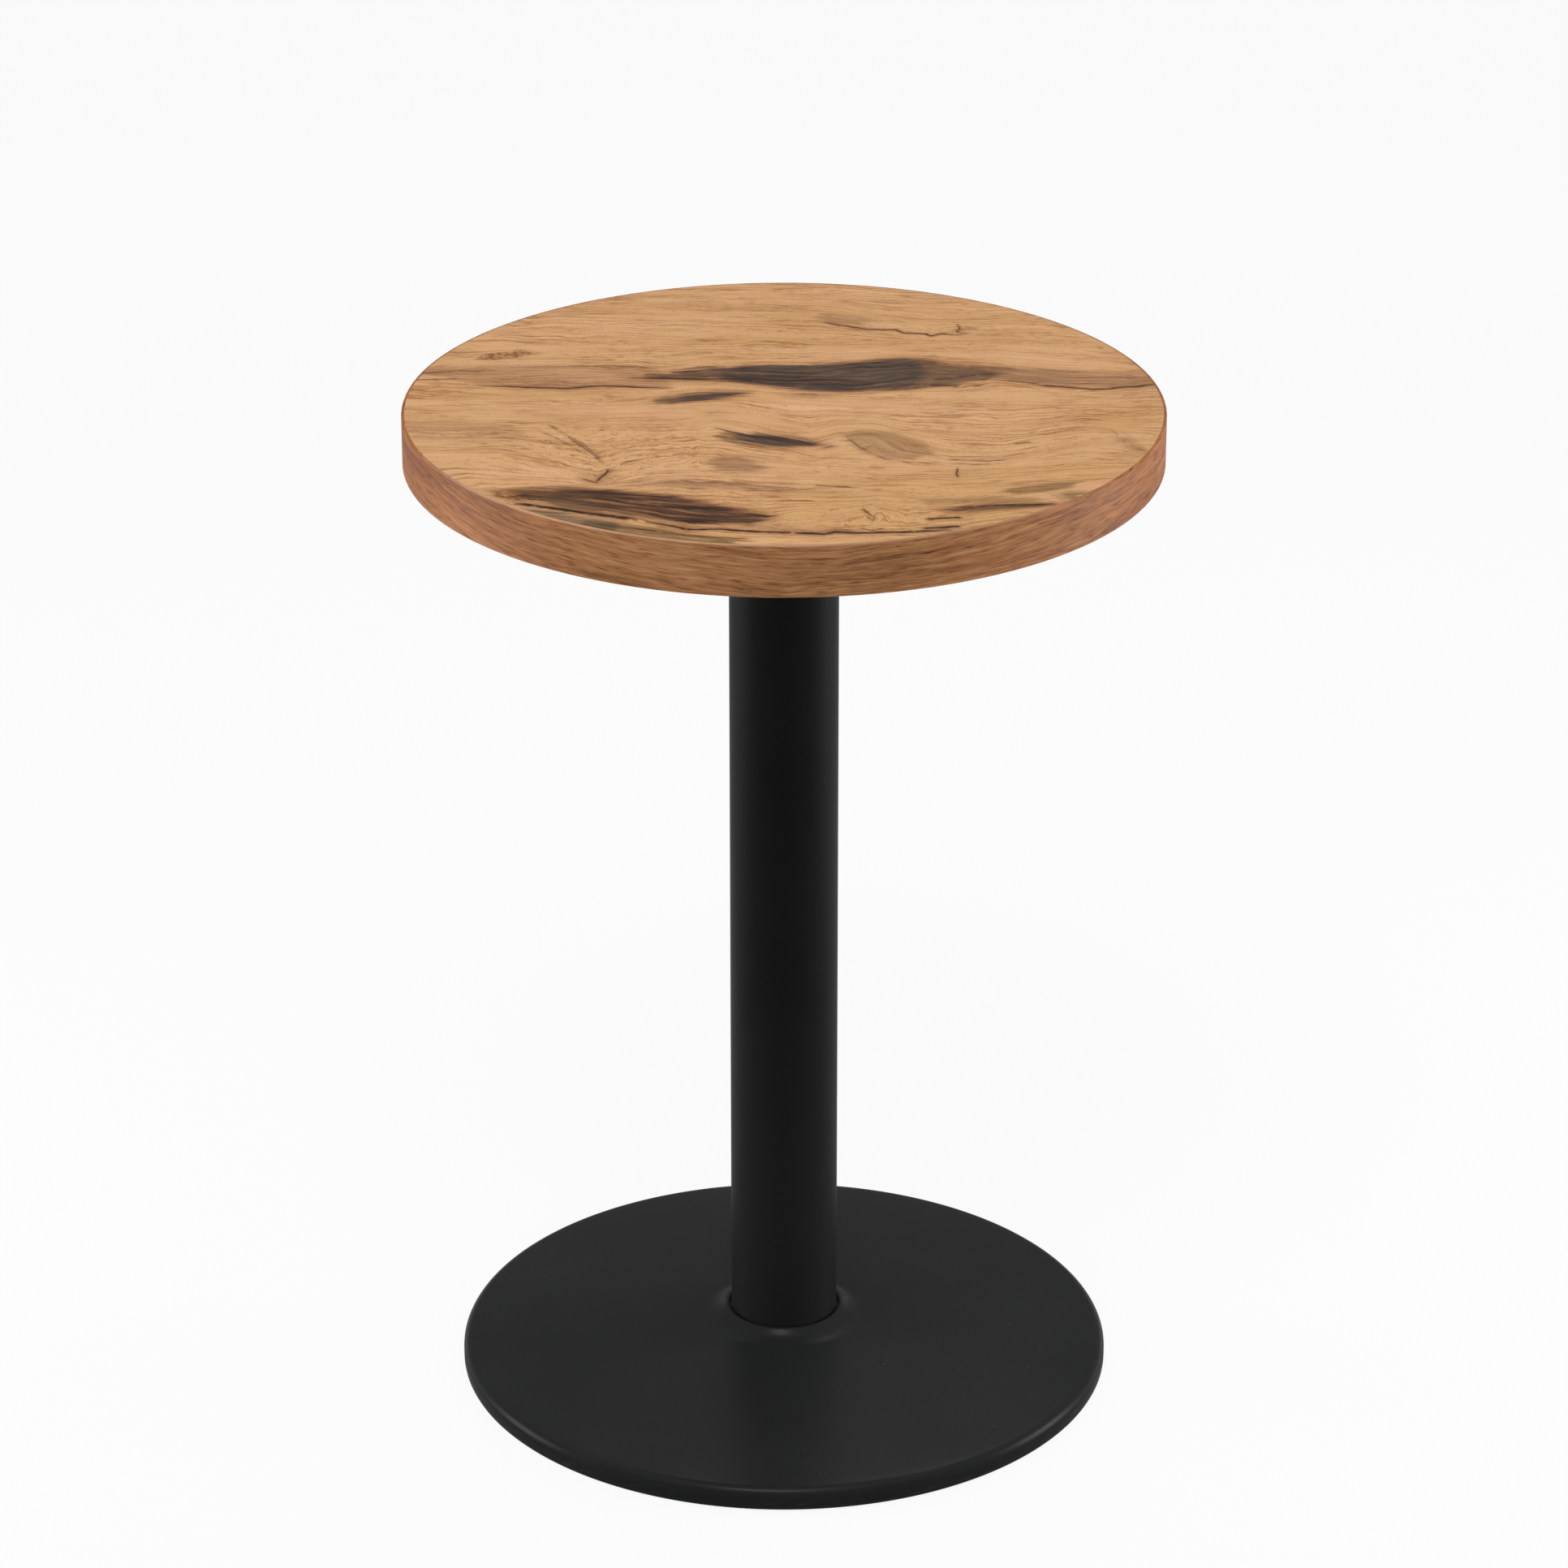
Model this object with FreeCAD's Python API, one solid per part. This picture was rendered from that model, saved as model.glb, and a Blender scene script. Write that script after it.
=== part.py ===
import FreeCAD, Part
import math
import os

# Round cafe table: a laminated board top on a steel column, which stands on a domed disc base.
# A rod in the column pulls a cast spider, the column, the pressed base cover and an iron ballast
# casting together. Four levelling glides screw into the ballast casting.
# Lengths are in millimetres. The origin is on the floor, under the middle of the column, and +Z is up.

# Overall sizes
TABLE_HEIGHT = 730.0
TOP_DIAMETER = 520.0
TOP_THICKNESS = 36.0
COLUMN_DIAMETER = 76.0
BASE_DIAMETER = 465.0

# Table top: core board, decor sheet, balancing sheet and edge band
LAMINATE_THICKNESS = 0.8
EDGE_BAND_THICKNESS = 2.0
EDGE_BAND_ROUNDING = 1.2
EDGE_BAND_SEAM = 0.2

# Threaded inserts in the underside of the core
INSERT_RADIUS = 5.0
INSERT_COLLAR_RADIUS = 7.0
INSERT_LENGTH = 16.0
INSERT_FIT = 0.1

# Screws and washers that hold the spider to the inserts
SCREW_CIRCLE_RADIUS = 134.0
SCREW_RADIUS = 3.0
SCREW_IN_INSERT = 11.0
SCREW_HEAD_RADIUS = 5.6
SCREW_HEAD_HEIGHT = 3.6
SCREW_HEAD_ROUNDING = 1.4
SCREW_SOCKET_ACROSS = 4.0
SCREW_SOCKET_DEPTH = 2.2
SCREW_WASHER_RADIUS = 8.0
SCREW_WASHER_THICKNESS = 1.6
SCREW_HOLE_CLEARANCE = 0.4
THREAD_CLEARANCE = 0.08

# Cast spider
SPIDER_ARMS = 4
SPIDER_FIRST_ANGLE = 45.0
ARM_THICKNESS = 6.0
ARM_ROOT_RADIUS = 24.0
ARM_TIP_RADIUS = 15.0
ARM_BOSS_HEIGHT = 2.0
ARM_BOSS_MARGIN = 2.0
ARM_RIB_THICKNESS = 7.0
ARM_RIB_DEPTH = 15.0
ARM_RIB_END_DEPTH = 2.5
ARM_RIB_GAP = 6.0
HUB_OVERHANG = 8.0
HUB_DRAFT = 4.0
HUB_WEB = 9.0
HUB_POCKET_MARGIN = 3.5
SPIDER_SPIGOT_LENGTH = 12.0

# Tension rod with its nuts and washers
ROD_RADIUS = 6.0
ROD_HOLE_CLEARANCE = 0.6
ROD_END_CHAMFER = 1.0
ROD_PROUD = 3.0
ROD_END_ROOM = 1.0
NUT_ACROSS_FLATS = 18.0
NUT_HEIGHT = 10.0
NUT_CHAMFER = 0.9
TOP_WASHER_RADIUS = 12.0
TOP_WASHER_THICKNESS = 2.5
BOTTOM_WASHER_RADIUS = 18.0
BOTTOM_WASHER_THICKNESS = 3.0
SPRING_WASHER_RADIUS = 10.0
SPRING_WASHER_THICKNESS = 2.8
SPRING_WASHER_SLIT = 1.6
SPRING_WASHER_SLIT_ANGLE = 20.0

# Column tube
COLUMN_WALL = 2.0
COLUMN_END_CHAMFER = 0.6
SPIGOT_CLEARANCE = 0.3
COVER_BORE_CLEARANCE = 0.15

# Pressed base cover
COVER_SHEET = 1.5
RIM_FLOOR_GAP = 1.8
RIM_HEIGHT = 15.2
RIM_RETURN = 6.0
RIM_BOTTOM_RADIUS = 1.8
SHOULDER_RADIUS = 8.0
DOME_RISE = 16.0
NECK_RISE = 7.4
NECK_FLARE_RADIUS = 22.0
NECK_LIP_RADIUS = 2.0
SEAT_WALL = 0.5
SEAT_CLEARANCE = 1.0

# Ballast casting under the cover
CASTING_FLOOR_GAP = 5.5
CASTING_EDGE_GAP = 5.5
CASTING_COVER_GAP = 1.6
CASTING_SKIN = 6.5
CASTING_RING_WIDTH = 12.0
CASTING_HUB_MARGIN = 8.0
CASTING_RIBS = 8
CASTING_RIB_THICKNESS = 7.0
CASTING_RIB_FIRST_ANGLE = 22.5
CASTING_RING_RIBS = 2
CASTING_RING_RIB_WIDTH = 6.0
CASTING_SHOULDER_CLEARANCE = 0.4
CASTING_SPIGOT_LENGTH = 14.0
WRENCH_ROOM = 4.0

# Damping pads between the casting and the cover
DAMPER_COUNT = 6
DAMPER_RADIUS = 9.0
DAMPER_INSET = 30.0
DAMPER_FIT = 0.1

# Levelling glides: a screwed stem with a hexagon collar, held in a swivel pad
GLIDE_COUNT = 4
GLIDE_FIRST_ANGLE = 45.0
GLIDE_INSET = 46.0
GLIDE_TRAVEL = 6.0
GLIDE_BOSS_RADIUS = 10.0
STEM_RADIUS = 4.0
STEM_TIP_CHAMFER = 0.8
STEM_TIP_MARGIN = 0.6
COLLAR_ACROSS_FLATS = 13.0
COLLAR_HEIGHT = 3.2
STEM_NECK_RADIUS = 2.6
STEM_HEAD_RADIUS = 4.2
STEM_HEAD_HEIGHT = 1.8
PAD_RADIUS = 14.0
PAD_EDGE_HEIGHT = 2.6
PAD_CROWN_RADIUS = 7.5
PAD_EDGE_CHAMFER = 0.7
PAD_FLOOR = 1.6
PAD_LIP = 1.6
PAD_PLAY = 0.3

# One overrun for every cut
OVERRUN = 5.0
HEXAGON_SIDES = 6

# Places worked out from the sizes above
TOP_RADIUS = TOP_DIAMETER / 2
BOARD_RADIUS = TOP_RADIUS - EDGE_BAND_THICKNESS
UNDERSIDE = TABLE_HEIGHT - TOP_THICKNESS
CORE_BOTTOM = UNDERSIDE + LAMINATE_THICKNESS
CORE_TOP = TABLE_HEIGHT - LAMINATE_THICKNESS
ARM_UNDERSIDE = UNDERSIDE - ARM_THICKNESS
SCREW_SEAT = ARM_UNDERSIDE - ARM_BOSS_HEIGHT
SCREW_HOLE_RADIUS = SCREW_RADIUS + SCREW_HOLE_CLEARANCE

COLUMN_RADIUS = COLUMN_DIAMETER / 2
TUBE_BORE = COLUMN_RADIUS - COLUMN_WALL
SPIGOT_RADIUS = TUBE_BORE - SPIGOT_CLEARANCE
ROD_HOLE_RADIUS = ROD_RADIUS + ROD_HOLE_CLEARANCE
HUB_POCKET_FLOOR = UNDERSIDE - ROD_END_ROOM - ROD_PROUD - NUT_HEIGHT - TOP_WASHER_THICKNESS
COLUMN_TOP = HUB_POCKET_FLOOR - HUB_WEB
SPIDER_SPIGOT_END = COLUMN_TOP - SPIDER_SPIGOT_LENGTH

BASE_RADIUS = BASE_DIAMETER / 2
DOME_EDGE = RIM_FLOOR_GAP + RIM_HEIGHT
DOME_CROWN = DOME_EDGE + DOME_RISE
DOME_RADIUS = (BASE_RADIUS ** 2 + DOME_RISE ** 2) / (2 * DOME_RISE)
DOME_CENTRE = (0, DOME_CROWN - DOME_RADIUS)
LIP_TOP = DOME_CROWN + NECK_RISE
SEAT_RADIUS = COLUMN_RADIUS + SEAT_CLEARANCE
SEAT_FLOOR = LIP_TOP - NECK_LIP_RADIUS - SEAT_WALL
COVER_BORE = SPIGOT_RADIUS + COVER_BORE_CLEARANCE
CASTING_SHOULDER = SEAT_FLOOR - COVER_SHEET
CASTING_DEPTH = COVER_SHEET + CASTING_COVER_GAP
CASTING_RADIUS = BASE_RADIUS - COVER_SHEET - CASTING_EDGE_GAP
CASTING_HUB_RADIUS = COLUMN_RADIUS + CASTING_HUB_MARGIN
BOTTOM_NUT_FOOT = CASTING_FLOOR_GAP + ROD_END_ROOM + ROD_PROUD
WASHER_SEAT = BOTTOM_NUT_FOOT + NUT_HEIGHT + SPRING_WASHER_THICKNESS + BOTTOM_WASHER_THICKNESS

GLIDE_CIRCLE = BASE_RADIUS - GLIDE_INSET
PAD_CROWN = PAD_FLOOR + PAD_PLAY + STEM_HEAD_HEIGHT + PAD_PLAY + PAD_LIP
COLLAR_BOTTOM = PAD_CROWN + PAD_PLAY
GLIDE_BOSS_FACE = COLLAR_BOTTOM + COLLAR_HEIGHT


# Sections and outlines

def polar(centre, radius, angle):
    """A point of a turned section, at an angle from a centre, as (distance from axis, height)."""
    return (centre[0] + radius * math.cos(angle), centre[1] + radius * math.sin(angle))


def bearing(start, end):
    """The angle of the direction from one section point to another."""
    return math.atan2(end[1] - start[1], end[0] - start[0])


def circles_meet(first, first_radius, second, second_radius):
    """The point further from the axis where two circles of a section meet."""
    apart = math.dist(first, second)
    along = (first_radius ** 2 - second_radius ** 2 + apart ** 2) / (2 * apart)
    aside = math.sqrt(first_radius ** 2 - along ** 2)
    heading = bearing(first, second)
    middle = polar(first, along, heading)
    sides = [polar(middle, aside, heading + turn) for turn in (math.pi / 2, -math.pi / 2)]
    return max(sides)


def vector(place):
    """A section point as a point in space, on the plane through the axis."""
    return FreeCAD.Vector(place[0], 0, place[1])


def line(start, end):
    """A straight edge of a section."""
    return Part.makeLine(vector(start), vector(end))


def arc(centre, radius, start_angle, end_angle):
    """A round edge of a section."""
    middle_angle = (start_angle + end_angle) / 2
    places = [polar(centre, radius, angle) for angle in (start_angle, middle_angle, end_angle)]
    return Part.Arc(*[vector(place) for place in places]).toShape()


def joined(edges):
    """Edges in order, with straight edges where the end of one isn't the start of the next."""
    chain = []
    for edge in edges:
        if chain:
            gap_start = chain[-1].lastVertex(True).Point
            gap_end = edge.firstVertex(True).Point
            if gap_start.distanceToPoint(gap_end) > Part.Precision.confusion():
                chain.append(Part.makeLine(gap_start, gap_end))
        chain.append(edge)
    return chain


def turned_edges(edges):
    """The solid that a closed section of ordered edges sweeps round the Z axis."""
    section = Part.Face(Part.Wire(edges))
    return section.revolve(FreeCAD.Vector(), FreeCAD.Vector(0, 0, 1), 360)


def turned(places):
    """The solid that a closed section of straight lines sweeps round the Z axis."""
    ends = places[1:] + places[:1]
    return turned_edges([line(start, end) for start, end in zip(places, ends)])


def ring(inner, outer, bottom, top):
    """A plain ring or, with no inner radius, a disc."""
    return turned([(inner, bottom), (outer, bottom), (outer, top), (inner, top)])


def hexagon(across_flats, bottom, top):
    """A hexagonal prism on the Z axis."""
    corner_radius = across_flats / math.sqrt(3)
    angles = [math.tau / HEXAGON_SIDES * count for count in range(HEXAGON_SIDES + 1)]
    corners = [FreeCAD.Vector(corner_radius * math.cos(a), corner_radius * math.sin(a), bottom) for a in angles]
    return Part.Face(Part.makePolygon(corners)).extrude(FreeCAD.Vector(0, 0, top - bottom))


def hexagon_with_chamfers(across_flats, bottom, top, chamfer):
    """A hexagonal prism whose corners are turned off at both ends."""
    corner_radius = across_flats / math.sqrt(3)
    blunt = turned([
        (0, bottom),
        (corner_radius - chamfer, bottom),
        (corner_radius, bottom + chamfer / 2),
        (corner_radius, top - chamfer / 2),
        (corner_radius - chamfer, top),
        (0, top),
    ])
    return hexagon(across_flats, bottom, top).common(blunt)


def placed(shape, radius, angle):
    """A copy of a shape, moved out along +X and turned about the Z axis."""
    copy = shape.copy()
    copy.translate(FreeCAD.Vector(radius, 0, 0))
    copy.rotate(FreeCAD.Vector(), FreeCAD.Vector(0, 0, 1), angle)
    return copy


def round_pattern(shape, count, radius, first_angle):
    """Copies of a shape at even angles on a circle, as a list."""
    return [placed(shape, radius, first_angle + 360 / count * index) for index in range(count)]


def fused(shapes):
    """One solid from shapes that touch or overlap."""
    return shapes[0].multiFuse(shapes[1:]).removeSplitter()


# Table top

def top_core():
    """The board disc, with blind holes for the inserts."""
    board = ring(0, BOARD_RADIUS, CORE_BOTTOM, CORE_TOP)
    hole = ring(0, INSERT_RADIUS + INSERT_FIT, UNDERSIDE, UNDERSIDE + INSERT_LENGTH + INSERT_FIT)
    return board.cut(round_pattern(hole, SPIDER_ARMS, SCREW_CIRCLE_RADIUS, SPIDER_FIRST_ANGLE))


def top_laminate():
    """The decor sheet on the upper face."""
    return ring(0, BOARD_RADIUS, CORE_TOP, TABLE_HEIGHT)


def underside_laminate():
    """The balancing sheet on the lower face, cut out for the collars of the inserts."""
    sheet = ring(0, BOARD_RADIUS, UNDERSIDE, CORE_BOTTOM)
    hole = ring(0, INSERT_COLLAR_RADIUS + INSERT_FIT, UNDERSIDE - OVERRUN, CORE_BOTTOM + OVERRUN)
    return sheet.cut(round_pattern(hole, SPIDER_ARMS, SCREW_CIRCLE_RADIUS, SPIDER_FIRST_ANGLE))


def edge_band():
    """The strip round the edge, with eased arrises and a butt seam at the back."""
    outer = TOP_RADIUS - EDGE_BAND_ROUNDING
    low = (outer, UNDERSIDE + EDGE_BAND_ROUNDING)
    high = (outer, TABLE_HEIGHT - EDGE_BAND_ROUNDING)
    edges = joined([
        line((BOARD_RADIUS, UNDERSIDE), (outer, UNDERSIDE)),
        arc(low, EDGE_BAND_ROUNDING, -math.pi / 2, 0),
        arc(high, EDGE_BAND_ROUNDING, 0, math.pi / 2),
        line((outer, TABLE_HEIGHT), (BOARD_RADIUS, TABLE_HEIGHT)),
        line((BOARD_RADIUS, TABLE_HEIGHT), (BOARD_RADIUS, UNDERSIDE)),
    ])
    slit = Part.makeBox(
        EDGE_BAND_SEAM,
        EDGE_BAND_THICKNESS + 2 * OVERRUN,
        TOP_THICKNESS + 2 * OVERRUN,
        FreeCAD.Vector(-EDGE_BAND_SEAM / 2, BOARD_RADIUS - OVERRUN, UNDERSIDE - OVERRUN),
    )
    return turned_edges(edges).cut(slit)


def threaded_inserts():
    """Four collared inserts, flush with the underside."""
    bore = SCREW_RADIUS + THREAD_CLEARANCE
    insert = turned([
        (bore, UNDERSIDE),
        (INSERT_COLLAR_RADIUS, UNDERSIDE),
        (INSERT_COLLAR_RADIUS, CORE_BOTTOM),
        (INSERT_RADIUS, CORE_BOTTOM),
        (INSERT_RADIUS, UNDERSIDE + INSERT_LENGTH),
        (bore, UNDERSIDE + INSERT_LENGTH),
    ])
    return Part.Compound(round_pattern(insert, SPIDER_ARMS, SCREW_CIRCLE_RADIUS, SPIDER_FIRST_ANGLE))


# Spider and its screws

def spider_arm():
    """One arm along +X: a flat bar that tapers to a round tip, with a rib and a screw boss below."""
    lean = math.asin((ARM_ROOT_RADIUS - ARM_TIP_RADIUS) / SCREW_CIRCLE_RADIUS)

    def rim(centre_x, radius, angle):
        return FreeCAD.Vector(
            centre_x + radius * math.cos(angle), radius * math.sin(angle), ARM_UNDERSIDE
        )

    side = math.pi / 2 - lean
    root = Part.Arc(
        rim(0, ARM_ROOT_RADIUS, side), rim(0, ARM_ROOT_RADIUS, math.pi), rim(0, ARM_ROOT_RADIUS, -side)
    ).toShape()
    tip = Part.Arc(
        rim(SCREW_CIRCLE_RADIUS, ARM_TIP_RADIUS, -side),
        rim(SCREW_CIRCLE_RADIUS, ARM_TIP_RADIUS, 0),
        rim(SCREW_CIRCLE_RADIUS, ARM_TIP_RADIUS, side),
    ).toShape()
    outline = Part.Wire(joined([root, tip, Part.makeLine(
        rim(SCREW_CIRCLE_RADIUS, ARM_TIP_RADIUS, side), rim(0, ARM_ROOT_RADIUS, side)
    )]))
    bar = Part.Face(outline).extrude(FreeCAD.Vector(0, 0, ARM_THICKNESS))
    boss = ring(0, SCREW_WASHER_RADIUS + ARM_BOSS_MARGIN, SCREW_SEAT, UNDERSIDE)
    boss.translate(FreeCAD.Vector(SCREW_CIRCLE_RADIUS, 0, 0))
    rib_end = SCREW_CIRCLE_RADIUS - SCREW_WASHER_RADIUS - ARM_BOSS_MARGIN - ARM_RIB_GAP
    rib_places = [
        (0, UNDERSIDE),
        (0, ARM_UNDERSIDE - ARM_RIB_DEPTH),
        (COLUMN_RADIUS + HUB_OVERHANG, ARM_UNDERSIDE - ARM_RIB_DEPTH),
        (rib_end, ARM_UNDERSIDE - ARM_RIB_END_DEPTH),
        (rib_end, UNDERSIDE),
    ]
    rib_outline = Part.makePolygon([vector(place) for place in rib_places + rib_places[:1]])
    rib = Part.Face(rib_outline).extrude(FreeCAD.Vector(0, ARM_RIB_THICKNESS, 0))
    rib.translate(FreeCAD.Vector(0, -ARM_RIB_THICKNESS / 2, 0))
    return fused([bar, boss, rib])


def top_spider():
    """The cast spider: four ribbed arms, a hub with a pocket for the nut, and a spigot for the tube."""
    hub_radius = COLUMN_RADIUS + HUB_OVERHANG
    hub = turned([
        (0, SPIDER_SPIGOT_END),
        (SPIGOT_RADIUS, SPIDER_SPIGOT_END),
        (SPIGOT_RADIUS, COLUMN_TOP),
        (hub_radius - HUB_DRAFT, COLUMN_TOP),
        (hub_radius, UNDERSIDE),
        (0, UNDERSIDE),
    ])
    arms = round_pattern(spider_arm(), SPIDER_ARMS, 0, SPIDER_FIRST_ANGLE)
    pocket = ring(0, TOP_WASHER_RADIUS + HUB_POCKET_MARGIN, HUB_POCKET_FLOOR, UNDERSIDE + OVERRUN)
    hollow = ring(0, SPIGOT_RADIUS - HUB_WEB, SPIDER_SPIGOT_END - OVERRUN, COLUMN_TOP)
    rod_hole = ring(0, ROD_HOLE_RADIUS, SPIDER_SPIGOT_END - OVERRUN, UNDERSIDE)
    below = ring(SPIGOT_RADIUS, SCREW_CIRCLE_RADIUS, SPIDER_SPIGOT_END - OVERRUN, COLUMN_TOP)
    screw_hole = ring(0, SCREW_HOLE_RADIUS, SCREW_SEAT - OVERRUN, UNDERSIDE + OVERRUN)
    screw_holes = round_pattern(screw_hole, SPIDER_ARMS, SCREW_CIRCLE_RADIUS, SPIDER_FIRST_ANGLE)
    return fused([hub] + arms).cut([pocket, hollow, rod_hole, below] + screw_holes)


def spider_washers():
    """Flat washers under the four screw heads."""
    washer = ring(
        SCREW_HOLE_RADIUS, SCREW_WASHER_RADIUS, SCREW_SEAT - SCREW_WASHER_THICKNESS, SCREW_SEAT
    )
    return Part.Compound(round_pattern(washer, SPIDER_ARMS, SCREW_CIRCLE_RADIUS, SPIDER_FIRST_ANGLE))


def spider_screws():
    """Four round-headed screws with hexagon sockets."""
    head_top = SCREW_SEAT - SCREW_WASHER_THICKNESS
    head_bottom = head_top - SCREW_HEAD_HEIGHT
    corner = (SCREW_HEAD_RADIUS - SCREW_HEAD_ROUNDING, head_bottom + SCREW_HEAD_ROUNDING)
    tip = UNDERSIDE + SCREW_IN_INSERT
    edges = joined([
        line((0, head_bottom), (corner[0], head_bottom)),
        arc(corner, SCREW_HEAD_ROUNDING, -math.pi / 2, 0),
        line((SCREW_HEAD_RADIUS, head_top), (SCREW_RADIUS, head_top)),
        line((SCREW_RADIUS, tip), (0, tip)),
        line((0, tip), (0, head_bottom)),
    ])
    socket = hexagon(SCREW_SOCKET_ACROSS, head_bottom - OVERRUN, head_bottom + SCREW_SOCKET_DEPTH)
    screw = turned_edges(edges).cut(socket)
    return Part.Compound(round_pattern(screw, SPIDER_ARMS, SCREW_CIRCLE_RADIUS, SPIDER_FIRST_ANGLE))


# Tension rod, nuts and washers

def tension_rod():
    """The rod that runs through the column, with chamfered ends."""
    bottom = BOTTOM_NUT_FOOT - ROD_PROUD
    top = HUB_POCKET_FLOOR + TOP_WASHER_THICKNESS + NUT_HEIGHT + ROD_PROUD
    return turned([
        (0, bottom),
        (ROD_RADIUS - ROD_END_CHAMFER, bottom),
        (ROD_RADIUS, bottom + ROD_END_CHAMFER),
        (ROD_RADIUS, top - ROD_END_CHAMFER),
        (ROD_RADIUS - ROD_END_CHAMFER, top),
        (0, top),
    ])


def nut(bottom):
    """A hexagon nut on the rod."""
    blank = hexagon_with_chamfers(NUT_ACROSS_FLATS, bottom, bottom + NUT_HEIGHT, NUT_CHAMFER)
    bore = ring(0, ROD_RADIUS + THREAD_CLEARANCE, bottom - OVERRUN, bottom + NUT_HEIGHT + OVERRUN)
    return blank.cut(bore)


def rod_top_nut():
    """The nut in the pocket of the spider."""
    return nut(HUB_POCKET_FLOOR + TOP_WASHER_THICKNESS)


def rod_top_washer():
    """The washer on the floor of the spider's pocket."""
    seat = HUB_POCKET_FLOOR
    return ring(ROD_HOLE_RADIUS, TOP_WASHER_RADIUS, seat, seat + TOP_WASHER_THICKNESS)


def rod_bottom_nut():
    """The nut in the recess of the ballast casting."""
    return nut(BOTTOM_NUT_FOOT)


def rod_spring_washer():
    """The split washer on the bottom nut."""
    bottom = BOTTOM_NUT_FOOT + NUT_HEIGHT
    washer = ring(ROD_HOLE_RADIUS, SPRING_WASHER_RADIUS, bottom, bottom + SPRING_WASHER_THICKNESS)
    slit = Part.makeBox(
        SPRING_WASHER_RADIUS + OVERRUN,
        SPRING_WASHER_SLIT,
        SPRING_WASHER_THICKNESS + 2 * OVERRUN,
        FreeCAD.Vector(0, -SPRING_WASHER_SLIT / 2, -SPRING_WASHER_THICKNESS / 2 - OVERRUN),
    )
    slit.rotate(FreeCAD.Vector(), FreeCAD.Vector(1, 0, 0), SPRING_WASHER_SLIT_ANGLE)
    slit.translate(FreeCAD.Vector(0, 0, bottom + SPRING_WASHER_THICKNESS / 2))
    return washer.cut(slit)


def rod_bottom_washer():
    """The wide washer that spreads the rod's pull over the casting."""
    return ring(ROD_HOLE_RADIUS, BOTTOM_WASHER_RADIUS, WASHER_SEAT - BOTTOM_WASHER_THICKNESS, WASHER_SEAT)


# Column

def column_tube():
    """The round tube, with both outer ends chamfered."""
    inset = COLUMN_RADIUS - COLUMN_END_CHAMFER
    return turned([
        (TUBE_BORE, SEAT_FLOOR),
        (inset, SEAT_FLOOR),
        (COLUMN_RADIUS, SEAT_FLOOR + COLUMN_END_CHAMFER),
        (COLUMN_RADIUS, COLUMN_TOP - COLUMN_END_CHAMFER),
        (inset, COLUMN_TOP),
        (TUBE_BORE, COLUMN_TOP),
    ])


# Base cover

def dome_height(radius, depth):
    """The height of the dome's surface, or of one that lies some depth under it, at a radius."""
    return DOME_CENTRE[1] + math.sqrt((DOME_RADIUS - depth) ** 2 - radius ** 2)


def cover_surface(depth):
    """One face of the sheet as ordered edges, from the rim's return to the bore of the seat."""
    shoulder_reach = DOME_RADIUS - SHOULDER_RADIUS
    shoulder_out = BASE_RADIUS - SHOULDER_RADIUS
    shoulder = (shoulder_out, DOME_CENTRE[1] + math.sqrt(shoulder_reach ** 2 - shoulder_out ** 2))
    lip = (SEAT_RADIUS + NECK_LIP_RADIUS, LIP_TOP - NECK_LIP_RADIUS)
    flare = circles_meet(
        DOME_CENTRE, DOME_RADIUS + NECK_FLARE_RADIUS, lip, NECK_FLARE_RADIUS + NECK_LIP_RADIUS
    )
    curl = (BASE_RADIUS - RIM_BOTTOM_RADIUS, RIM_FLOOR_GAP + RIM_BOTTOM_RADIUS)
    to_shoulder = bearing(DOME_CENTRE, shoulder)
    to_flare = bearing(DOME_CENTRE, flare)
    flare_to_lip = bearing(flare, lip)
    flare_to_dome = bearing(flare, DOME_CENTRE)
    lip_to_flare = bearing(lip, flare)
    return joined([
        line((BASE_RADIUS - RIM_RETURN, RIM_FLOOR_GAP + depth), (curl[0], RIM_FLOOR_GAP + depth)),
        arc(curl, RIM_BOTTOM_RADIUS - depth, -math.pi / 2, 0),
        arc(shoulder, SHOULDER_RADIUS - depth, 0, to_shoulder),
        arc(DOME_CENTRE, DOME_RADIUS - depth, to_shoulder, to_flare),
        arc(flare, NECK_FLARE_RADIUS + depth, flare_to_dome, flare_to_lip),
        arc(lip, NECK_LIP_RADIUS - depth, lip_to_flare, math.pi),
        line((SEAT_RADIUS + depth, SEAT_FLOOR - depth), (COVER_BORE, SEAT_FLOOR - depth)),
    ])


def base_cover():
    """The pressed cover: rolled-in rim, domed disc, flared neck and a sunk seat for the column."""
    outer = cover_surface(0)
    inner = cover_surface(COVER_SHEET)
    bore = line((COVER_BORE, SEAT_FLOOR), (COVER_BORE, CASTING_SHOULDER))
    rim = line(
        (BASE_RADIUS - RIM_RETURN, RIM_FLOOR_GAP + COVER_SHEET), (BASE_RADIUS - RIM_RETURN, RIM_FLOOR_GAP)
    )
    return turned_edges(Part.__sortEdges__(outer + [bore] + inner + [rim]))


# Ballast casting

def under_dome(depth, inner, outer, bottom):
    """The solid between a level bottom and a surface that lies some depth under the dome."""
    inner_top = (inner, dome_height(inner, depth))
    outer_top = (outer, dome_height(outer, depth))
    top = arc(
        DOME_CENTRE, DOME_RADIUS - depth, bearing(DOME_CENTRE, outer_top), bearing(DOME_CENTRE, inner_top)
    )
    edges = [
        line((inner, bottom), (outer, bottom)),
        line((outer, bottom), outer_top),
        top,
        line(inner_top, (inner, bottom)),
    ]
    return turned_edges(edges)


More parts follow.
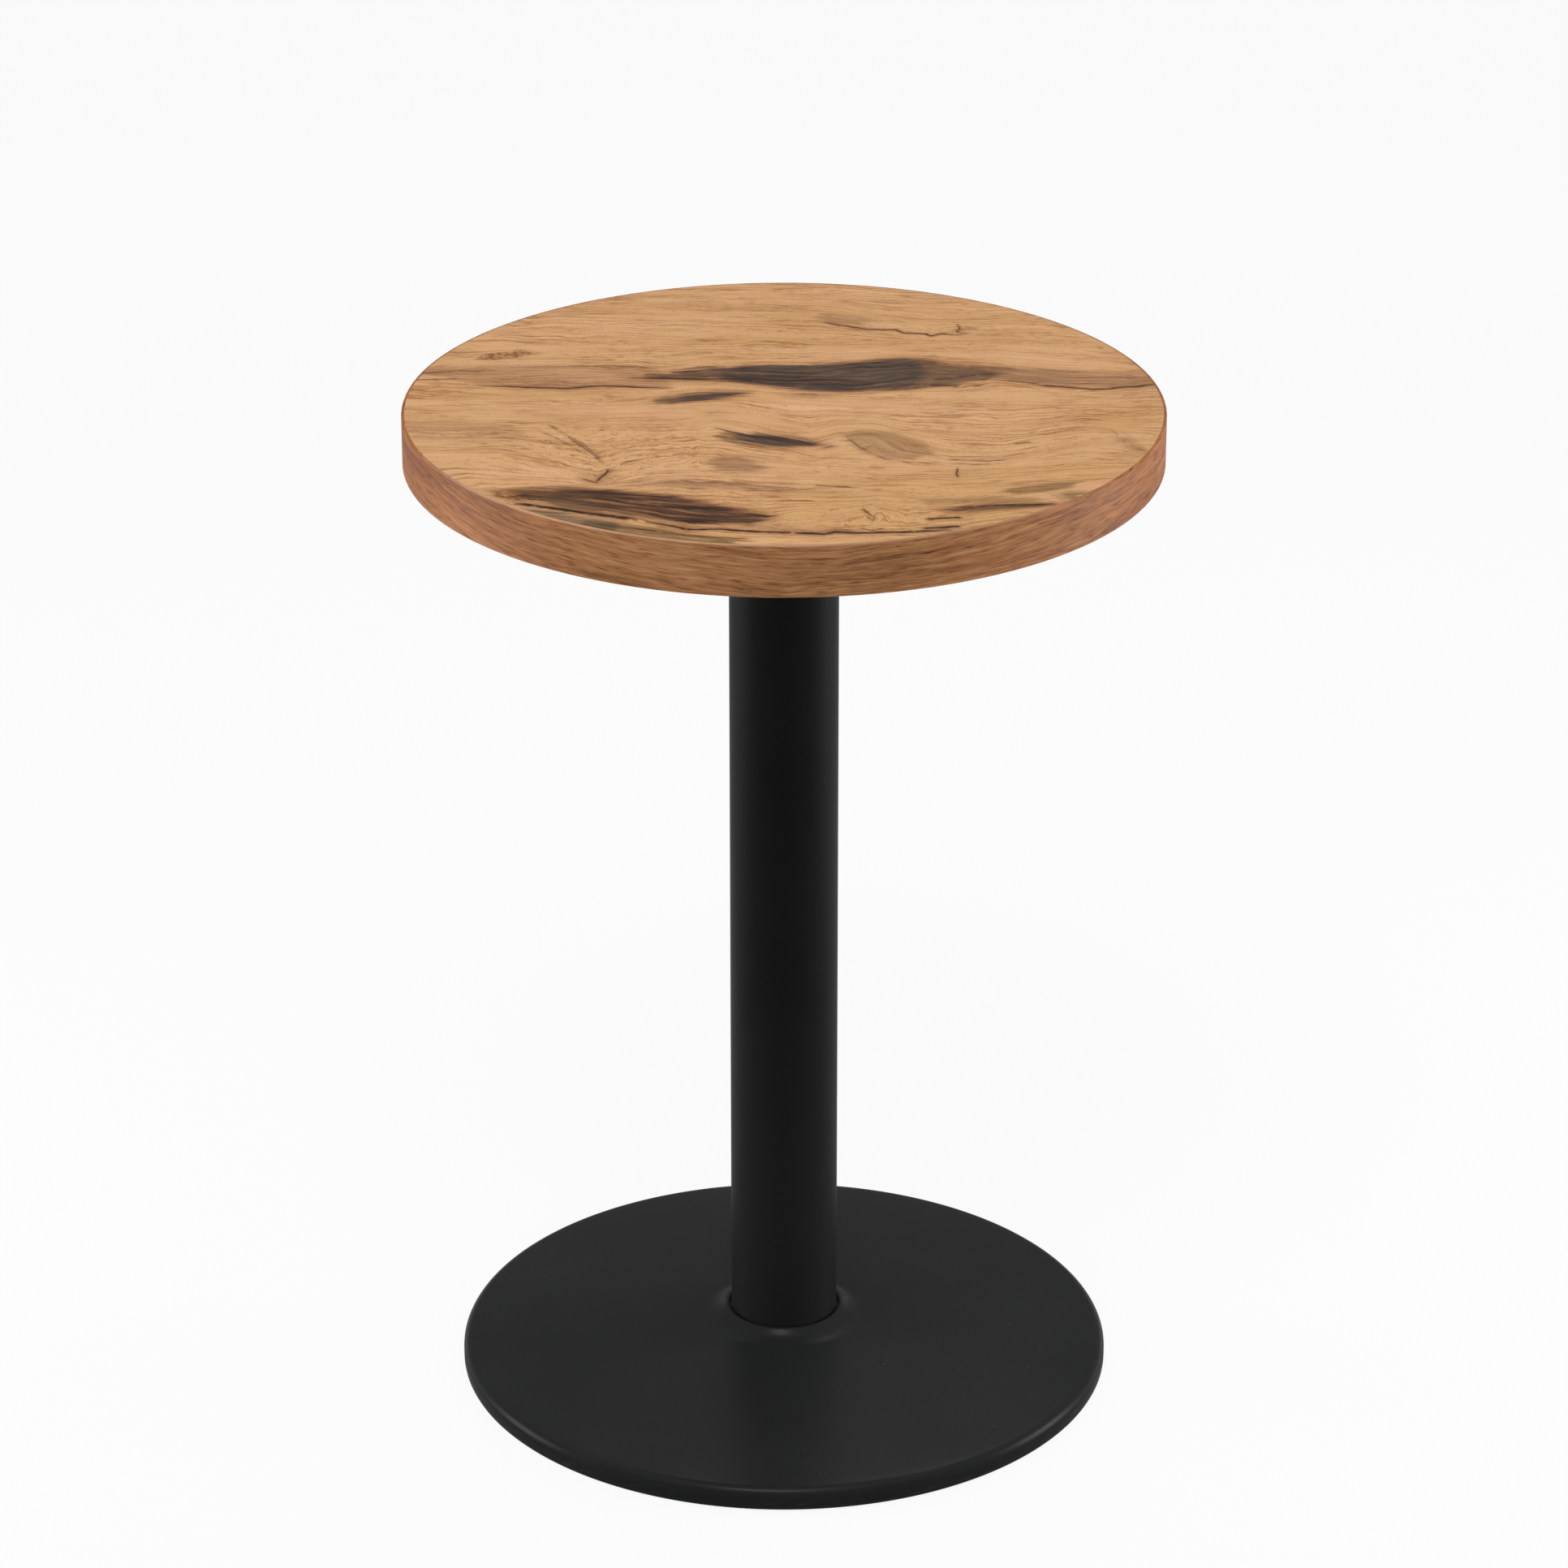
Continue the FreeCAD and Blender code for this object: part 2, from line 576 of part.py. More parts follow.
def ring_ribs(outer):
    """Round ribs at even steps between the casting's hub and its outer ring."""
    step = (outer - CASTING_HUB_RADIUS) / (CASTING_RING_RIBS + 1)
    middles = [CASTING_HUB_RADIUS + step * (index + 1) for index in range(CASTING_RING_RIBS)]
    half = CASTING_RING_RIB_WIDTH / 2
    bottom = CASTING_FLOOR_GAP - OVERRUN
    return [ring(middle - half, middle + half, bottom, DOME_CROWN) for middle in middles]


def ballast_casting():
    """The iron weight: a domed skin with an outer ring, ribs, glide bosses, a hub and a spigot."""
    body = under_dome(CASTING_DEPTH, 0, CASTING_RADIUS, CASTING_FLOOR_GAP)
    shoulder = turned([
        (0, CASTING_FLOOR_GAP),
        (SEAT_RADIUS - CASTING_SHOULDER_CLEARANCE, CASTING_FLOOR_GAP),
        (SEAT_RADIUS - CASTING_SHOULDER_CLEARANCE, CASTING_SHOULDER),
        (SPIGOT_RADIUS, CASTING_SHOULDER),
        (SPIGOT_RADIUS, CASTING_SHOULDER + CASTING_SPIGOT_LENGTH),
        (0, CASTING_SHOULDER + CASTING_SPIGOT_LENGTH),
    ])
    ring_inner = CASTING_RADIUS - CASTING_RING_WIDTH
    hollow = under_dome(
        CASTING_DEPTH + CASTING_SKIN, CASTING_HUB_RADIUS, ring_inner, CASTING_FLOOR_GAP - OVERRUN
    )
    rib = Part.makeBox(
        CASTING_RADIUS,
        CASTING_RIB_THICKNESS,
        DOME_CROWN,
        FreeCAD.Vector(0, -CASTING_RIB_THICKNESS / 2, CASTING_FLOOR_GAP - OVERRUN),
    )
    boss = ring(0, GLIDE_BOSS_RADIUS, GLIDE_BOSS_FACE, DOME_CROWN)
    ribs = round_pattern(rib, CASTING_RIBS, 0, CASTING_RIB_FIRST_ANGLE)
    bosses = round_pattern(boss, GLIDE_COUNT, GLIDE_CIRCLE, GLIDE_FIRST_ANGLE)
    pockets = hollow.cut(ribs + ring_ribs(ring_inner) + bosses)
    recess = ring(0, BOTTOM_WASHER_RADIUS + WRENCH_ROOM, CASTING_FLOOR_GAP - OVERRUN, WASHER_SEAT)
    spigot_end = CASTING_SHOULDER + CASTING_SPIGOT_LENGTH
    cup = ring(0, SPIGOT_RADIUS - CASTING_HUB_MARGIN, CASTING_SHOULDER, spigot_end + OVERRUN)
    rod_hole = ring(0, ROD_HOLE_RADIUS, WASHER_SEAT - OVERRUN, CASTING_SHOULDER + OVERRUN)
    screw_hole = ring(0, STEM_RADIUS + THREAD_CLEARANCE, GLIDE_BOSS_FACE - OVERRUN, DOME_CROWN)
    screw_holes = round_pattern(screw_hole, GLIDE_COUNT, GLIDE_CIRCLE, GLIDE_FIRST_ANGLE)
    return fused([body, shoulder]).cut([pockets, recess, cup, rod_hole] + screw_holes)


def damping_pads():
    """Soft dots in the gap between the casting and the cover."""
    circle = CASTING_RADIUS - DAMPER_INSET
    upper = under_dome(COVER_SHEET + DAMPER_FIT, 0, CASTING_RADIUS, CASTING_FLOOR_GAP)
    lower = under_dome(CASTING_DEPTH - DAMPER_FIT, 0, CASTING_RADIUS, CASTING_FLOOR_GAP)
    gap = upper.cut(lower)
    dot = ring(0, DAMPER_RADIUS, CASTING_FLOOR_GAP, DOME_CROWN)
    dots = round_pattern(dot, DAMPER_COUNT, circle, 0)
    return Part.Compound([gap.common(one).Solids[0] for one in dots])


# Levelling glides

def glide_stem():
    """A screw with a hexagon collar and, below it, a neck and a flat head that snaps into the pad."""
    head_bottom = PAD_FLOOR + PAD_PLAY
    head_top = head_bottom + STEM_HEAD_HEIGHT
    tip = dome_height(GLIDE_CIRCLE + STEM_RADIUS, CASTING_DEPTH) - STEM_TIP_MARGIN
    shaft = turned([
        (0, head_bottom),
        (STEM_HEAD_RADIUS, head_bottom),
        (STEM_HEAD_RADIUS, head_top),
        (STEM_NECK_RADIUS, head_top),
        (STEM_NECK_RADIUS, COLLAR_BOTTOM),
        (STEM_RADIUS, COLLAR_BOTTOM),
        (STEM_RADIUS, tip - STEM_TIP_CHAMFER),
        (STEM_RADIUS - STEM_TIP_CHAMFER, tip),
        (0, tip),
    ])
    collar = hexagon(COLLAR_ACROSS_FLATS, COLLAR_BOTTOM, GLIDE_BOSS_FACE)
    return fused([shaft, collar])


def glide_pad():
    """A round foot whose crown holds the head of the stem."""
    neck_hole = STEM_NECK_RADIUS + PAD_PLAY
    head_hole = STEM_HEAD_RADIUS + PAD_PLAY
    head_room = PAD_FLOOR + PAD_PLAY + STEM_HEAD_HEIGHT + PAD_PLAY
    return turned([
        (0, 0),
        (PAD_RADIUS - PAD_EDGE_CHAMFER, 0),
        (PAD_RADIUS, PAD_EDGE_CHAMFER),
        (PAD_RADIUS, PAD_EDGE_HEIGHT),
        (PAD_CROWN_RADIUS, PAD_CROWN),
        (neck_hole, PAD_CROWN),
        (neck_hole, head_room),
        (head_hole, head_room),
        (head_hole, PAD_FLOOR),
        (0, PAD_FLOOR),
    ])


# Writing the parts

SINGLE_PARTS = [
    top_core,
    top_laminate,
    underside_laminate,
    edge_band,
    threaded_inserts,
    top_spider,
    spider_screws,
    spider_washers,
    tension_rod,
    rod_top_nut,
    rod_top_washer,
    rod_bottom_nut,
    rod_spring_washer,
    rod_bottom_washer,
    column_tube,
    base_cover,
    ballast_casting,
    damping_pads,
]


def write(name, shape):
    """Writes one part to its own file and prints its size."""
    os.makedirs("parts", exist_ok=True)
    shape.exportStep(f"parts/{name}.step")
    print(f"{name}: {len(shape.Solids)} solid(s), {shape.Volume / 1000:.1f} cm3, valid {shape.isValid()}")


for make in SINGLE_PARTS:
    write(make.__name__, make())
for make in (glide_stem, glide_pad):
    for index, glide in enumerate(round_pattern(make(), GLIDE_COUNT, GLIDE_CIRCLE, GLIDE_FIRST_ANGLE)):
        write(f"{make.__name__}_{index + 1}", glide)
print(f"glide travel {GLIDE_TRAVEL} mm, glide circle {GLIDE_CIRCLE} mm")
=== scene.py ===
"""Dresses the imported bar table: a rustic oak top on a black steel column and a domed steel base."""

import logging
import math
from dataclasses import dataclass
from enum import Enum
from typing import Any

import bmesh
import bpy
import numpy as np
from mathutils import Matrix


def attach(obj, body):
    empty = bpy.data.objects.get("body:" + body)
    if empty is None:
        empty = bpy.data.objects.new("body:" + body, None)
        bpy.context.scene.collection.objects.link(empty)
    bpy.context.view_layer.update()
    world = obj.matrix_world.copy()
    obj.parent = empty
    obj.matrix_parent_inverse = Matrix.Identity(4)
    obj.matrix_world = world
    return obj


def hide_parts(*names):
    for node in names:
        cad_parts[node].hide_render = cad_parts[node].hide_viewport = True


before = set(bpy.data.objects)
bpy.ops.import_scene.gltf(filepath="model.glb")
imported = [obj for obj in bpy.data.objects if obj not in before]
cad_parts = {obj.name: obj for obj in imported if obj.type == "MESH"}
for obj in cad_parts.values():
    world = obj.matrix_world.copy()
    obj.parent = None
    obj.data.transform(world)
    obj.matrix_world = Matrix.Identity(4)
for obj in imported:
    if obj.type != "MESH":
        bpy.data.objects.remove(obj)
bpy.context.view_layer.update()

LOG = logging.getLogger("bar_table")
MM = 0.001
MERGE = 1e-6
CREASE = 32.0
Point = tuple[float, float]
Place = tuple[float, float, float]
Colour = tuple[float, float, float, float]
Socket = bpy.types.NodeSocket


class Shade(Enum):
    """The kinds of mark in the oak print."""

    DARK = "dark"
    BROWN = "brown"
    OLIVE = "olive"
    GREY = "grey"
    GOLD = "gold"
    PALE = "pale"
    UMBER = "umber"
    AMBER = "amber"
    CURL = "curl"


def paint(red: int, green: int, blue: int) -> Colour:
    """A colour as it is seen, 0 to 255, turned into the linear values that a shader takes."""
    return (*[((c / 255 + 0.055) / 1.055) ** 2.4 if c > 10 else c / 3295 for c in (red, green, blue)], 1.0)


# Node graphs


class Value:
    """An output of a node, which takes part in sums as a plain number does."""

    def __init__(self, graph: "Graph", socket: Socket) -> None:
        """Keeps the output and the graph that it belongs to."""
        self.graph, self.socket = graph, socket

    def __add__(self, other: Any) -> "Value":
        """The sum with a number or another value."""
        return self.graph.math("ADD", self, other)

    def __sub__(self, other: Any) -> "Value":
        """The value less a number or another value."""
        return self.graph.math("SUBTRACT", self, other)

    def __rsub__(self, other: float) -> "Value":
        """A number less the value."""
        return self.graph.math("SUBTRACT", other, self)

    def __mul__(self, other: Any) -> "Value":
        """The product with a number or another value."""
        return self.graph.math("MULTIPLY", self, other)

    def __truediv__(self, other: Any) -> "Value":
        """The value over a number or another value."""
        return self.graph.math("DIVIDE", self, other)

    def __abs__(self) -> "Value":
        """The value without its sign."""
        return self.graph.math("ABSOLUTE", self)


class Graph:
    """A node tree with short words for the nodes that shaders and geometry trees share."""

    def __init__(self, tree: bpy.types.NodeTree) -> None:
        """Keeps the tree that the nodes go into."""
        self.tree = tree

    def join(self, value: Any, socket: Socket) -> None:
        """Links a value to an input, or writes a plain number, colour or vector on it."""
        if isinstance(value, Value):
            self.tree.links.new(value.socket, socket)
        else:
            socket.default_value = value

    def add(self, kind: str, inputs: dict[Any, Any] | None = None, **settings: Any) -> bpy.types.Node:
        """Adds a node.

        Args:
            kind: Blender's name for the node's type.
            inputs: What goes into each input, by name or place.
            **settings: The node's own options.

        Returns:
            The node.
        """
        node = self.tree.nodes.new(kind)
        for name, value in settings.items():
            setattr(node, name, value)
        for name, value in (inputs or {}).items():
            self.join(value, node.inputs[name])
        return node

    def out(self, kind: str, inputs: dict[Any, Any] | None = None, output: Any = 0, **settings: Any) -> Value:
        """Adds a node, as add does, and hands back one of its outputs, by name or place."""
        return Value(self, self.add(kind, inputs, **settings).outputs[output])

    def math(self, operation: str, *values: Any) -> Value:
        """The result of one arithmetic step on numbers."""
        return self.out("ShaderNodeMath", dict(enumerate(values)), operation=operation)

    def vector(self, x: Any, y: Any, z: Any = 0.0) -> Value:
        """Three numbers as one vector."""
        return self.out("ShaderNodeCombineXYZ", {0: x, 1: y, 2: z})

    def axes(self, vector: Value) -> tuple[Value, ...]:
        """The three numbers of a vector."""
        node = self.add("ShaderNodeSeparateXYZ", {0: vector})
        return tuple(Value(self, output) for output in node.outputs)


class Wiring(Graph):
    """The node tree of one material, built round a Principled shader, and its colour so far."""

    def __init__(self, name: str) -> None:
        """Starts a material of that name."""
        self.material = bpy.data.materials.new(name)
        self.material.use_nodes = True
        super().__init__(self.material.node_tree)
        self.tree.nodes.clear()
        self.shader = self.out("ShaderNodeBsdfPrincipled")
        self.end = self.add("ShaderNodeOutputMaterial", {0: self.shader}).inputs[0]
        self.place = self.out("ShaderNodeTexCoord", output="Object")
        self.colour: Any = None

    def set(self, **values: Any) -> bpy.types.Material:
        """Fills the shader's inputs, written with underscores for spaces, and hands back the material."""
        for name, value in ({"Base_Color": self.colour} | values).items():
            self.join(value, self.shader.socket.node.inputs[name.replace("_", " ")])
        return self.material

    def read(self, name: str, output: str = "Fac") -> Value:
        """A value that the mesh carries at its points."""
        return self.out("ShaderNodeAttribute", output=output, attribute_type="GEOMETRY", attribute_name=name)

    def mark(self, shade: Shade, low: float, high: float, *frays: Value) -> Value:
        """Where a kind of mark lies.

        Args:
            shade: The kind of mark.
            low: The depth in mm inside the outline at which it starts.
            high: The depth at which it is full.
            *frays: What is added to the depth to fray the outline.

        Returns:
            Its strength, from 0 to 1.
        """
        depth = self.read(shade.value)
        for fray in frays:
            depth = depth + fray
        return self.rise(depth, low, high) * self.read(shade.value + "_depth")

    def stretch(self, vector: Value, *sizes: float) -> Value:
        """A vector divided by a size along each axis, where a third size that isn't given leaves its axis out."""
        factors = (*(1 / size for size in sizes), 0.0)[:3]
        return self.out("ShaderNodeVectorMath", {0: vector, 1: factors}, operation="MULTIPLY")

    def noise(self, vector: Value, scale: float = 1.0, detail: float = 2.0, roughness: float = 0.5) -> Value:
        """Soft random numbers about a half."""
        inputs = {"Vector": vector, "Scale": scale, "Detail": detail, "Roughness": roughness}
        return self.out("ShaderNodeTexNoise", inputs)

    def grain(self, vector: Value, long: float, wide: float, detail: float = 2.0, roughness: float = 0.5) -> Value:
        """Soft random numbers about a half, drawn out along the grain."""
        return self.noise(self.stretch(vector, long, wide), 1.0, detail, roughness)

    def swing(self, vector: Value, long: float, wide: float, reach: float, detail: float = 2.0) -> Value:
        """Soft random numbers about zero, drawn out along the grain, up to about half a reach either way."""
        return (self.grain(vector, long, wide, detail) - 0.5) * reach

    def cells(self, vector: Value, feature: str = "F1", output: int = 0) -> Value:
        """A pattern of cells: the distance from their middles or edges, or their random colour."""
        return self.out("ShaderNodeTexVoronoi", {"Vector": vector, "Scale": 1.0}, output, feature=feature)

    def rise(self, value: Value, low: float, high: float) -> Value:
        """0 below low, 1 above high and a smooth rise between, or the reverse where high is below low."""
        ends = {1: min(low, high), 2: max(low, high), 3: float(low > high), 4: float(low < high)}
        return self.out("ShaderNodeMapRange", {0: value, **ends}, interpolation_type="SMOOTHSTEP")

    def ramp(self, value: Value, stops: dict[float, Colour]) -> Value:
        """Colours by a number, from the colour at each value, in order."""
        node = self.add("ShaderNodeValToRGB", {0: value})
        while len(node.color_ramp.elements) < len(stops):
            node.color_ramp.elements.new(0.5)
        for element, (place, colour) in zip(node.color_ramp.elements, stops.items()):
            element.position, element.color = place, colour
        return Value(self, node.outputs[0])

    def blend(self, mask: Any, under: Any, over: Any, mode: str = "MIX") -> Value:
        """One colour laid over another where the mask is 1."""
        return self.out("ShaderNodeMix", {0: mask, 6: under, 7: over}, 2, data_type="RGBA", blend_type=mode)

    def lay(self, mask: Any, over: Any) -> None:
        """Covers the colour so far where the mask is 1."""
        self.colour = self.blend(mask, self.colour, over)

    def stain(self, mask: Any, over: Any) -> None:
        """Darkens the colour so far by another where the mask is 1."""
        self.colour = self.blend(mask, self.colour, over, "MULTIPLY")

    def bump(self, height: Value, depth: float) -> Value:
        """A normal for a surface that is raised by a height of 0 to 1 times a depth in mm."""
        return self.out("ShaderNodeBump", {"Strength": 1.0, "Distance": depth * MM, "Height": height})


class Maker(Graph):
    """A Geometry Nodes tree with named inputs, whose result is kept as a plain mesh."""

    KINDS = {int: "NodeSocketInt", float: "NodeSocketFloat", tuple: "NodeSocketVector"}

    def __init__(self, name: str, **sizes: Any) -> None:
        """Starts a tree that takes a mesh, sizes and a material.

        Args:
            name: The tree's name.
            **sizes: Each named input with its usual value, written with underscores for spaces.
        """
        super().__init__(bpy.data.node_groups.new(name, "GeometryNodeTree"))
        face = self.tree.interface
        for way in ("INPUT", "OUTPUT"):
            face.new_socket("Geometry", in_out=way, socket_type="NodeSocketGeometry")
        for key, value in sizes.items():
            socket = face.new_socket(key.replace("_", " "), in_out="INPUT", socket_type=self.KINDS[type(value)])
            socket.default_value = value
        face.new_socket("Material", in_out="INPUT", socket_type="NodeSocketMaterial")
        self.given = {socket.name: Value(self, socket) for socket in self.add("NodeGroupInput").outputs}

    def net(self, columns: Value, rows: Any) -> tuple[Value, Value, Value]:
        """A grid of points.

        Args:
            columns: How many columns it has.
            rows: How many rows.

        Returns:
            The grid, and the column and the row of each point.
        """
        grid = self.out("GeometryNodeMeshGrid", {"Vertices X": columns, "Vertices Y": rows})
        index = self.out("GeometryNodeInputIndex")
        column = self.math("FLOOR", (index + 0.5) / rows)
        return grid, column, index - column * rows

    def wrapped(self, grid: Value, radius: Value, angle: Value, height: Value) -> Value:
        """Lays the points of a grid round the upright axis through the centre, and closes the seams."""
        x, y = (radius * self.math(side, angle) for side in ("COSINE", "SINE"))
        inputs = {0: self.vector(x, y, height), 1: self.given["Centre"]}
        place = self.out("ShaderNodeVectorMath", inputs, operation="ADD")
        skin = self.out("GeometryNodeSetPosition", {"Geometry": grid, "Position": place})
        return self.out("GeometryNodeMergeByDistance", {"Geometry": skin, "Distance": MERGE})

    def close(self, geometry: Value) -> "Maker":
        """Ends the tree: the geometry is realized and gets its material."""
        real = self.out("GeometryNodeRealizeInstances", {0: geometry})
        done = self.out("GeometryNodeSetMaterial", {"Geometry": real, "Material": self.given["Material"]})
        self.add("NodeGroupOutput", {0: done})
        return self

    def run(self, name: str, start: bpy.types.Mesh, material: bpy.types.Material, **sizes: Any) -> bpy.types.Object:
        """Runs the tree on a mesh.

        Args:
            name: The name of the new piece.
            start: The mesh that goes in.
            material: The piece's material.
            **sizes: Values of the named inputs, written with underscores for spaces.

        Returns:
            A plain mesh object with its faces outwards.
        """
        holder = place_mesh(name, start)
        modifier = holder.modifiers.new("maker", "NODES")
        modifier.node_group = self.tree
        values = {key.replace("_", " "): value for key, value in sizes.items()} | {"Material": material}
        for item in self.tree.interface.items_tree:
            if item.in_out == "INPUT" and item.name in values:
                modifier[item.identifier] = values[item.name]
        return settled(holder)


def revolve_maker() -> Maker:
    """A tree that turns a closed section, given as points in order in the XZ plane, about an upright axis."""
    maker = Maker("turn_section", Segments=96, Centre=(0.0, 0.0, 0.0))
    section, segments = maker.given["Geometry"], maker.given["Segments"]
    count = maker.out("GeometryNodeAttributeDomainSize", {0: section}, component="MESH")
    grid, column, row = maker.net(segments + 1.0, count + 1.0)
    inputs = {"Geometry": section, "Index": maker.math("MODULO", row, count)}
    sample = maker.add("GeometryNodeSampleIndex", inputs, data_type="FLOAT_VECTOR", domain="POINT")
    where = maker.out("GeometryNodeInputPosition")
    maker.join(where, next(s for s in sample.inputs if s.name == "Value" and s.enabled))
    x, _, z = maker.axes(Value(maker, next(s for s in sample.outputs if s.enabled)))
    return maker.close(maker.wrapped(grid, x, column * math.tau / segments, z))


def ring_maker() -> Maker:
    """A tree that repeats a piece at even angles on a circle."""
    maker = Maker("round_pattern", Count=4, Radius=0.1, First_Angle=0.0)
    given = maker.given
    circle = maker.out("GeometryNodeMeshCircle", {"Vertices": given["Count"], "Radius": given["Radius"]})
    turn = maker.vector(0.0, 0.0, given["First Angle"])
    points = maker.out("GeometryNodeTransform", {"Geometry": circle, "Rotation": turn})
    return maker.close(maker.out("GeometryNodeInstanceOnPoints", {"Points": points, "Instance": given["Geometry"]}))


def thread_maker() -> Maker:
    """A tree that winds a screw thread round a core: five rows of points follow each turn's flanks, crest and root."""
    sizes = {"Major_Radius": 0.004, "Minor_Radius": 0.0034, "Pitch": 0.00125, "Start": 0.0}
    maker = Maker("wind_thread", **sizes, Turns=4, Steps=32, Centre=(0.0, 0.0, 0.0))
    core, major, minor, pitch, start, turns, per_turn = list(maker.given.values())[:7]
    steps = turns * per_turn
    grid, column, row = maker.net(steps + 1.0, 5)
    turned = column / per_turn
    flank = 1.5 - abs(row - 1.5)
    crest = maker.math("MAXIMUM", maker.math("MINIMUM", flank, 1.0), 0.0)
    ends = maker.math("MINIMUM", column, steps - column) / (per_turn * 0.5)
    height = crest * maker.math("MINIMUM", ends, 1.0)
    radius = maker.math("MULTIPLY_ADD", height, major - minor, minor)
    past_crest = maker.math("GREATER_THAN", row, 1.5) * -0.1875
    past_root = maker.math("GREATER_THAN", row, 3.5) * -0.0625
    climb = row * 0.3125 + past_crest + past_root + turned
    helix = maker.wrapped(grid, radius, turned * math.tau, maker.math("MULTIPLY_ADD", climb, pitch, start))
    both = maker.add("GeometryNodeJoinGeometry")
    for part in (core, helix):
        maker.join(part, both.inputs[0])
    return maker.close(Value(maker, both.outputs[0]))


# Meshes


def plain_mesh(points: Any, faces: Any = ()) -> bpy.types.Mesh:
    """A mesh from points in mm and faces."""
    mesh = bpy.data.meshes.new("plain")
    mesh.from_pydata([tuple(p) for p in np.array(points, float) * MM], [], faces)
    return mesh


def place_mesh(name: str, mesh: bpy.types.Mesh) -> bpy.types.Object:
    """Puts a mesh in the scene as an object at the origin."""
    thing = bpy.data.objects.new(name, mesh)
    bpy.context.scene.collection.objects.link(thing)
    return thing


def coat(mesh: bpy.types.Mesh, material: bpy.types.Material) -> None:
    """Gives a mesh its only material."""
    mesh.materials.clear()
    mesh.materials.append(material)


def cleaned(mesh: bpy.types.Mesh, outwards: bool = True) -> None:
    """Merges a mesh's doubles and turns its faces outwards, where that is asked."""
    work = bmesh.new()
    work.from_mesh(mesh)
    bmesh.ops.remove_doubles(work, verts=work.verts, dist=MERGE)
    if outwards:
        bmesh.ops.recalc_face_normals(work, faces=work.faces)
    work.to_mesh(mesh)
    work.free()


def settled(thing: bpy.types.Object, outwards: bool = True, crease: float = CREASE) -> bpy.types.Object:
    """Turns what an object's modifiers make into its own mesh.

    Args:
        thing: The object, which loses its modifiers.
        outwards: Whether doubles are merged and faces turned outwards.
        crease: Edges bent by more than this, in degrees, stay sharp.

    Returns:
        The same object.
    """
    graph = bpy.context.evaluated_depsgraph_get()
    mesh = bpy.data.meshes.new_from_object(thing.evaluated_get(graph), depsgraph=graph)
    thing.modifiers.clear()
    thing.data = mesh
    mesh.name = thing.name
    if outwards:
        cleaned(mesh)
    mesh.shade_smooth()
    mesh.set_sharp_from_angle(angle=math.radians(crease))
    return thing


def section_mesh(corners: list[Point]) -> bpy.types.Mesh:
    """A section's corners, in mm from the axis and the floor, as the points of a mesh."""
    return plain_mesh([(x, 0.0, z) for x, z in corners])


def bend(centre: Point, radius: float, start: float, end: float, steps: int = 6) -> list[Point]:
    """Points along a round edge of a section, ends included, with angles in radians."""
    angles = np.linspace(start, end, steps + 1)
    return [(centre[0] + radius * math.cos(a), centre[1] + radius * math.sin(a)) for a in angles]


def bearing(start: Point, end: Point) -> float:
    """The direction from one point of a section to another, in radians."""
    return math.atan2(end[1] - start[1], end[0] - start[0])


def ring_points(height: float, radius: float = 0.0, flats: float = 0.0, count: int = 48) -> np.ndarray:
    """One level ring of points, on a circle or, where flats is given, on a hexagon that wide across them."""
    turn = np.arange(count) / count * math.tau
    reach = flats / 2 / np.cos(turn % (math.pi / 3) - math.pi / 6) if flats else np.full(count, radius)
    return np.column_stack([reach * np.cos(turn), reach * np.sin(turn), np.full(count, height)])


def rings_mesh(rings: list[np.ndarray]) -> bpy.types.Mesh:
    """A closed skin over rings of points that all have the same count, with its two ends filled."""
    count, total = len(rings[0]), len(rings[0]) * len(rings)
    faces = [
        (low + step, low + (step + 1) % count, low + count + (step + 1) % count, low + count + step)
        for low in range(0, total - count, count) for step in range(count)
    ]
    faces += [tuple(range(count))[::-1], tuple(range(total - count, total))]
    return plain_mesh(np.concatenate(rings), faces)


def joined(*things: bpy.types.Object) -> bpy.types.Mesh:
    """Several objects as one mesh, under the first one's material, with the objects put away."""
    work, mesh = bmesh.new(), bpy.data.meshes.new("joined")
    mesh.materials.append(things[0].data.materials[0])
    for thing in things:
        work.from_mesh(thing.data)
        bpy.data.objects.remove(thing)
    work.to_mesh(mesh)
    work.free()
    return mesh


@dataclass(frozen=True)
class Bore:
    """A drilled hole that stays round in a casting: its place, radius and reach in mm."""

    x: float
    y: float
    radius: float
    reach: float

    def clear(self, points: np.ndarray) -> None:
        """Moves the points of a casting that stand in the hole out to its wall."""
        away = points[:, :2] - np.array([self.x, self.y]) * MM
        far = np.maximum(np.linalg.norm(away, axis=1), 1e-7)
        near = (far < self.reach * MM) & (far > 0.3 * self.radius * MM)
        wanted = np.where(far < self.radius * MM, self.radius * MM, far)
        points[near, :2] += (away / far[:, None] * (wanted - far)[:, None])[near]


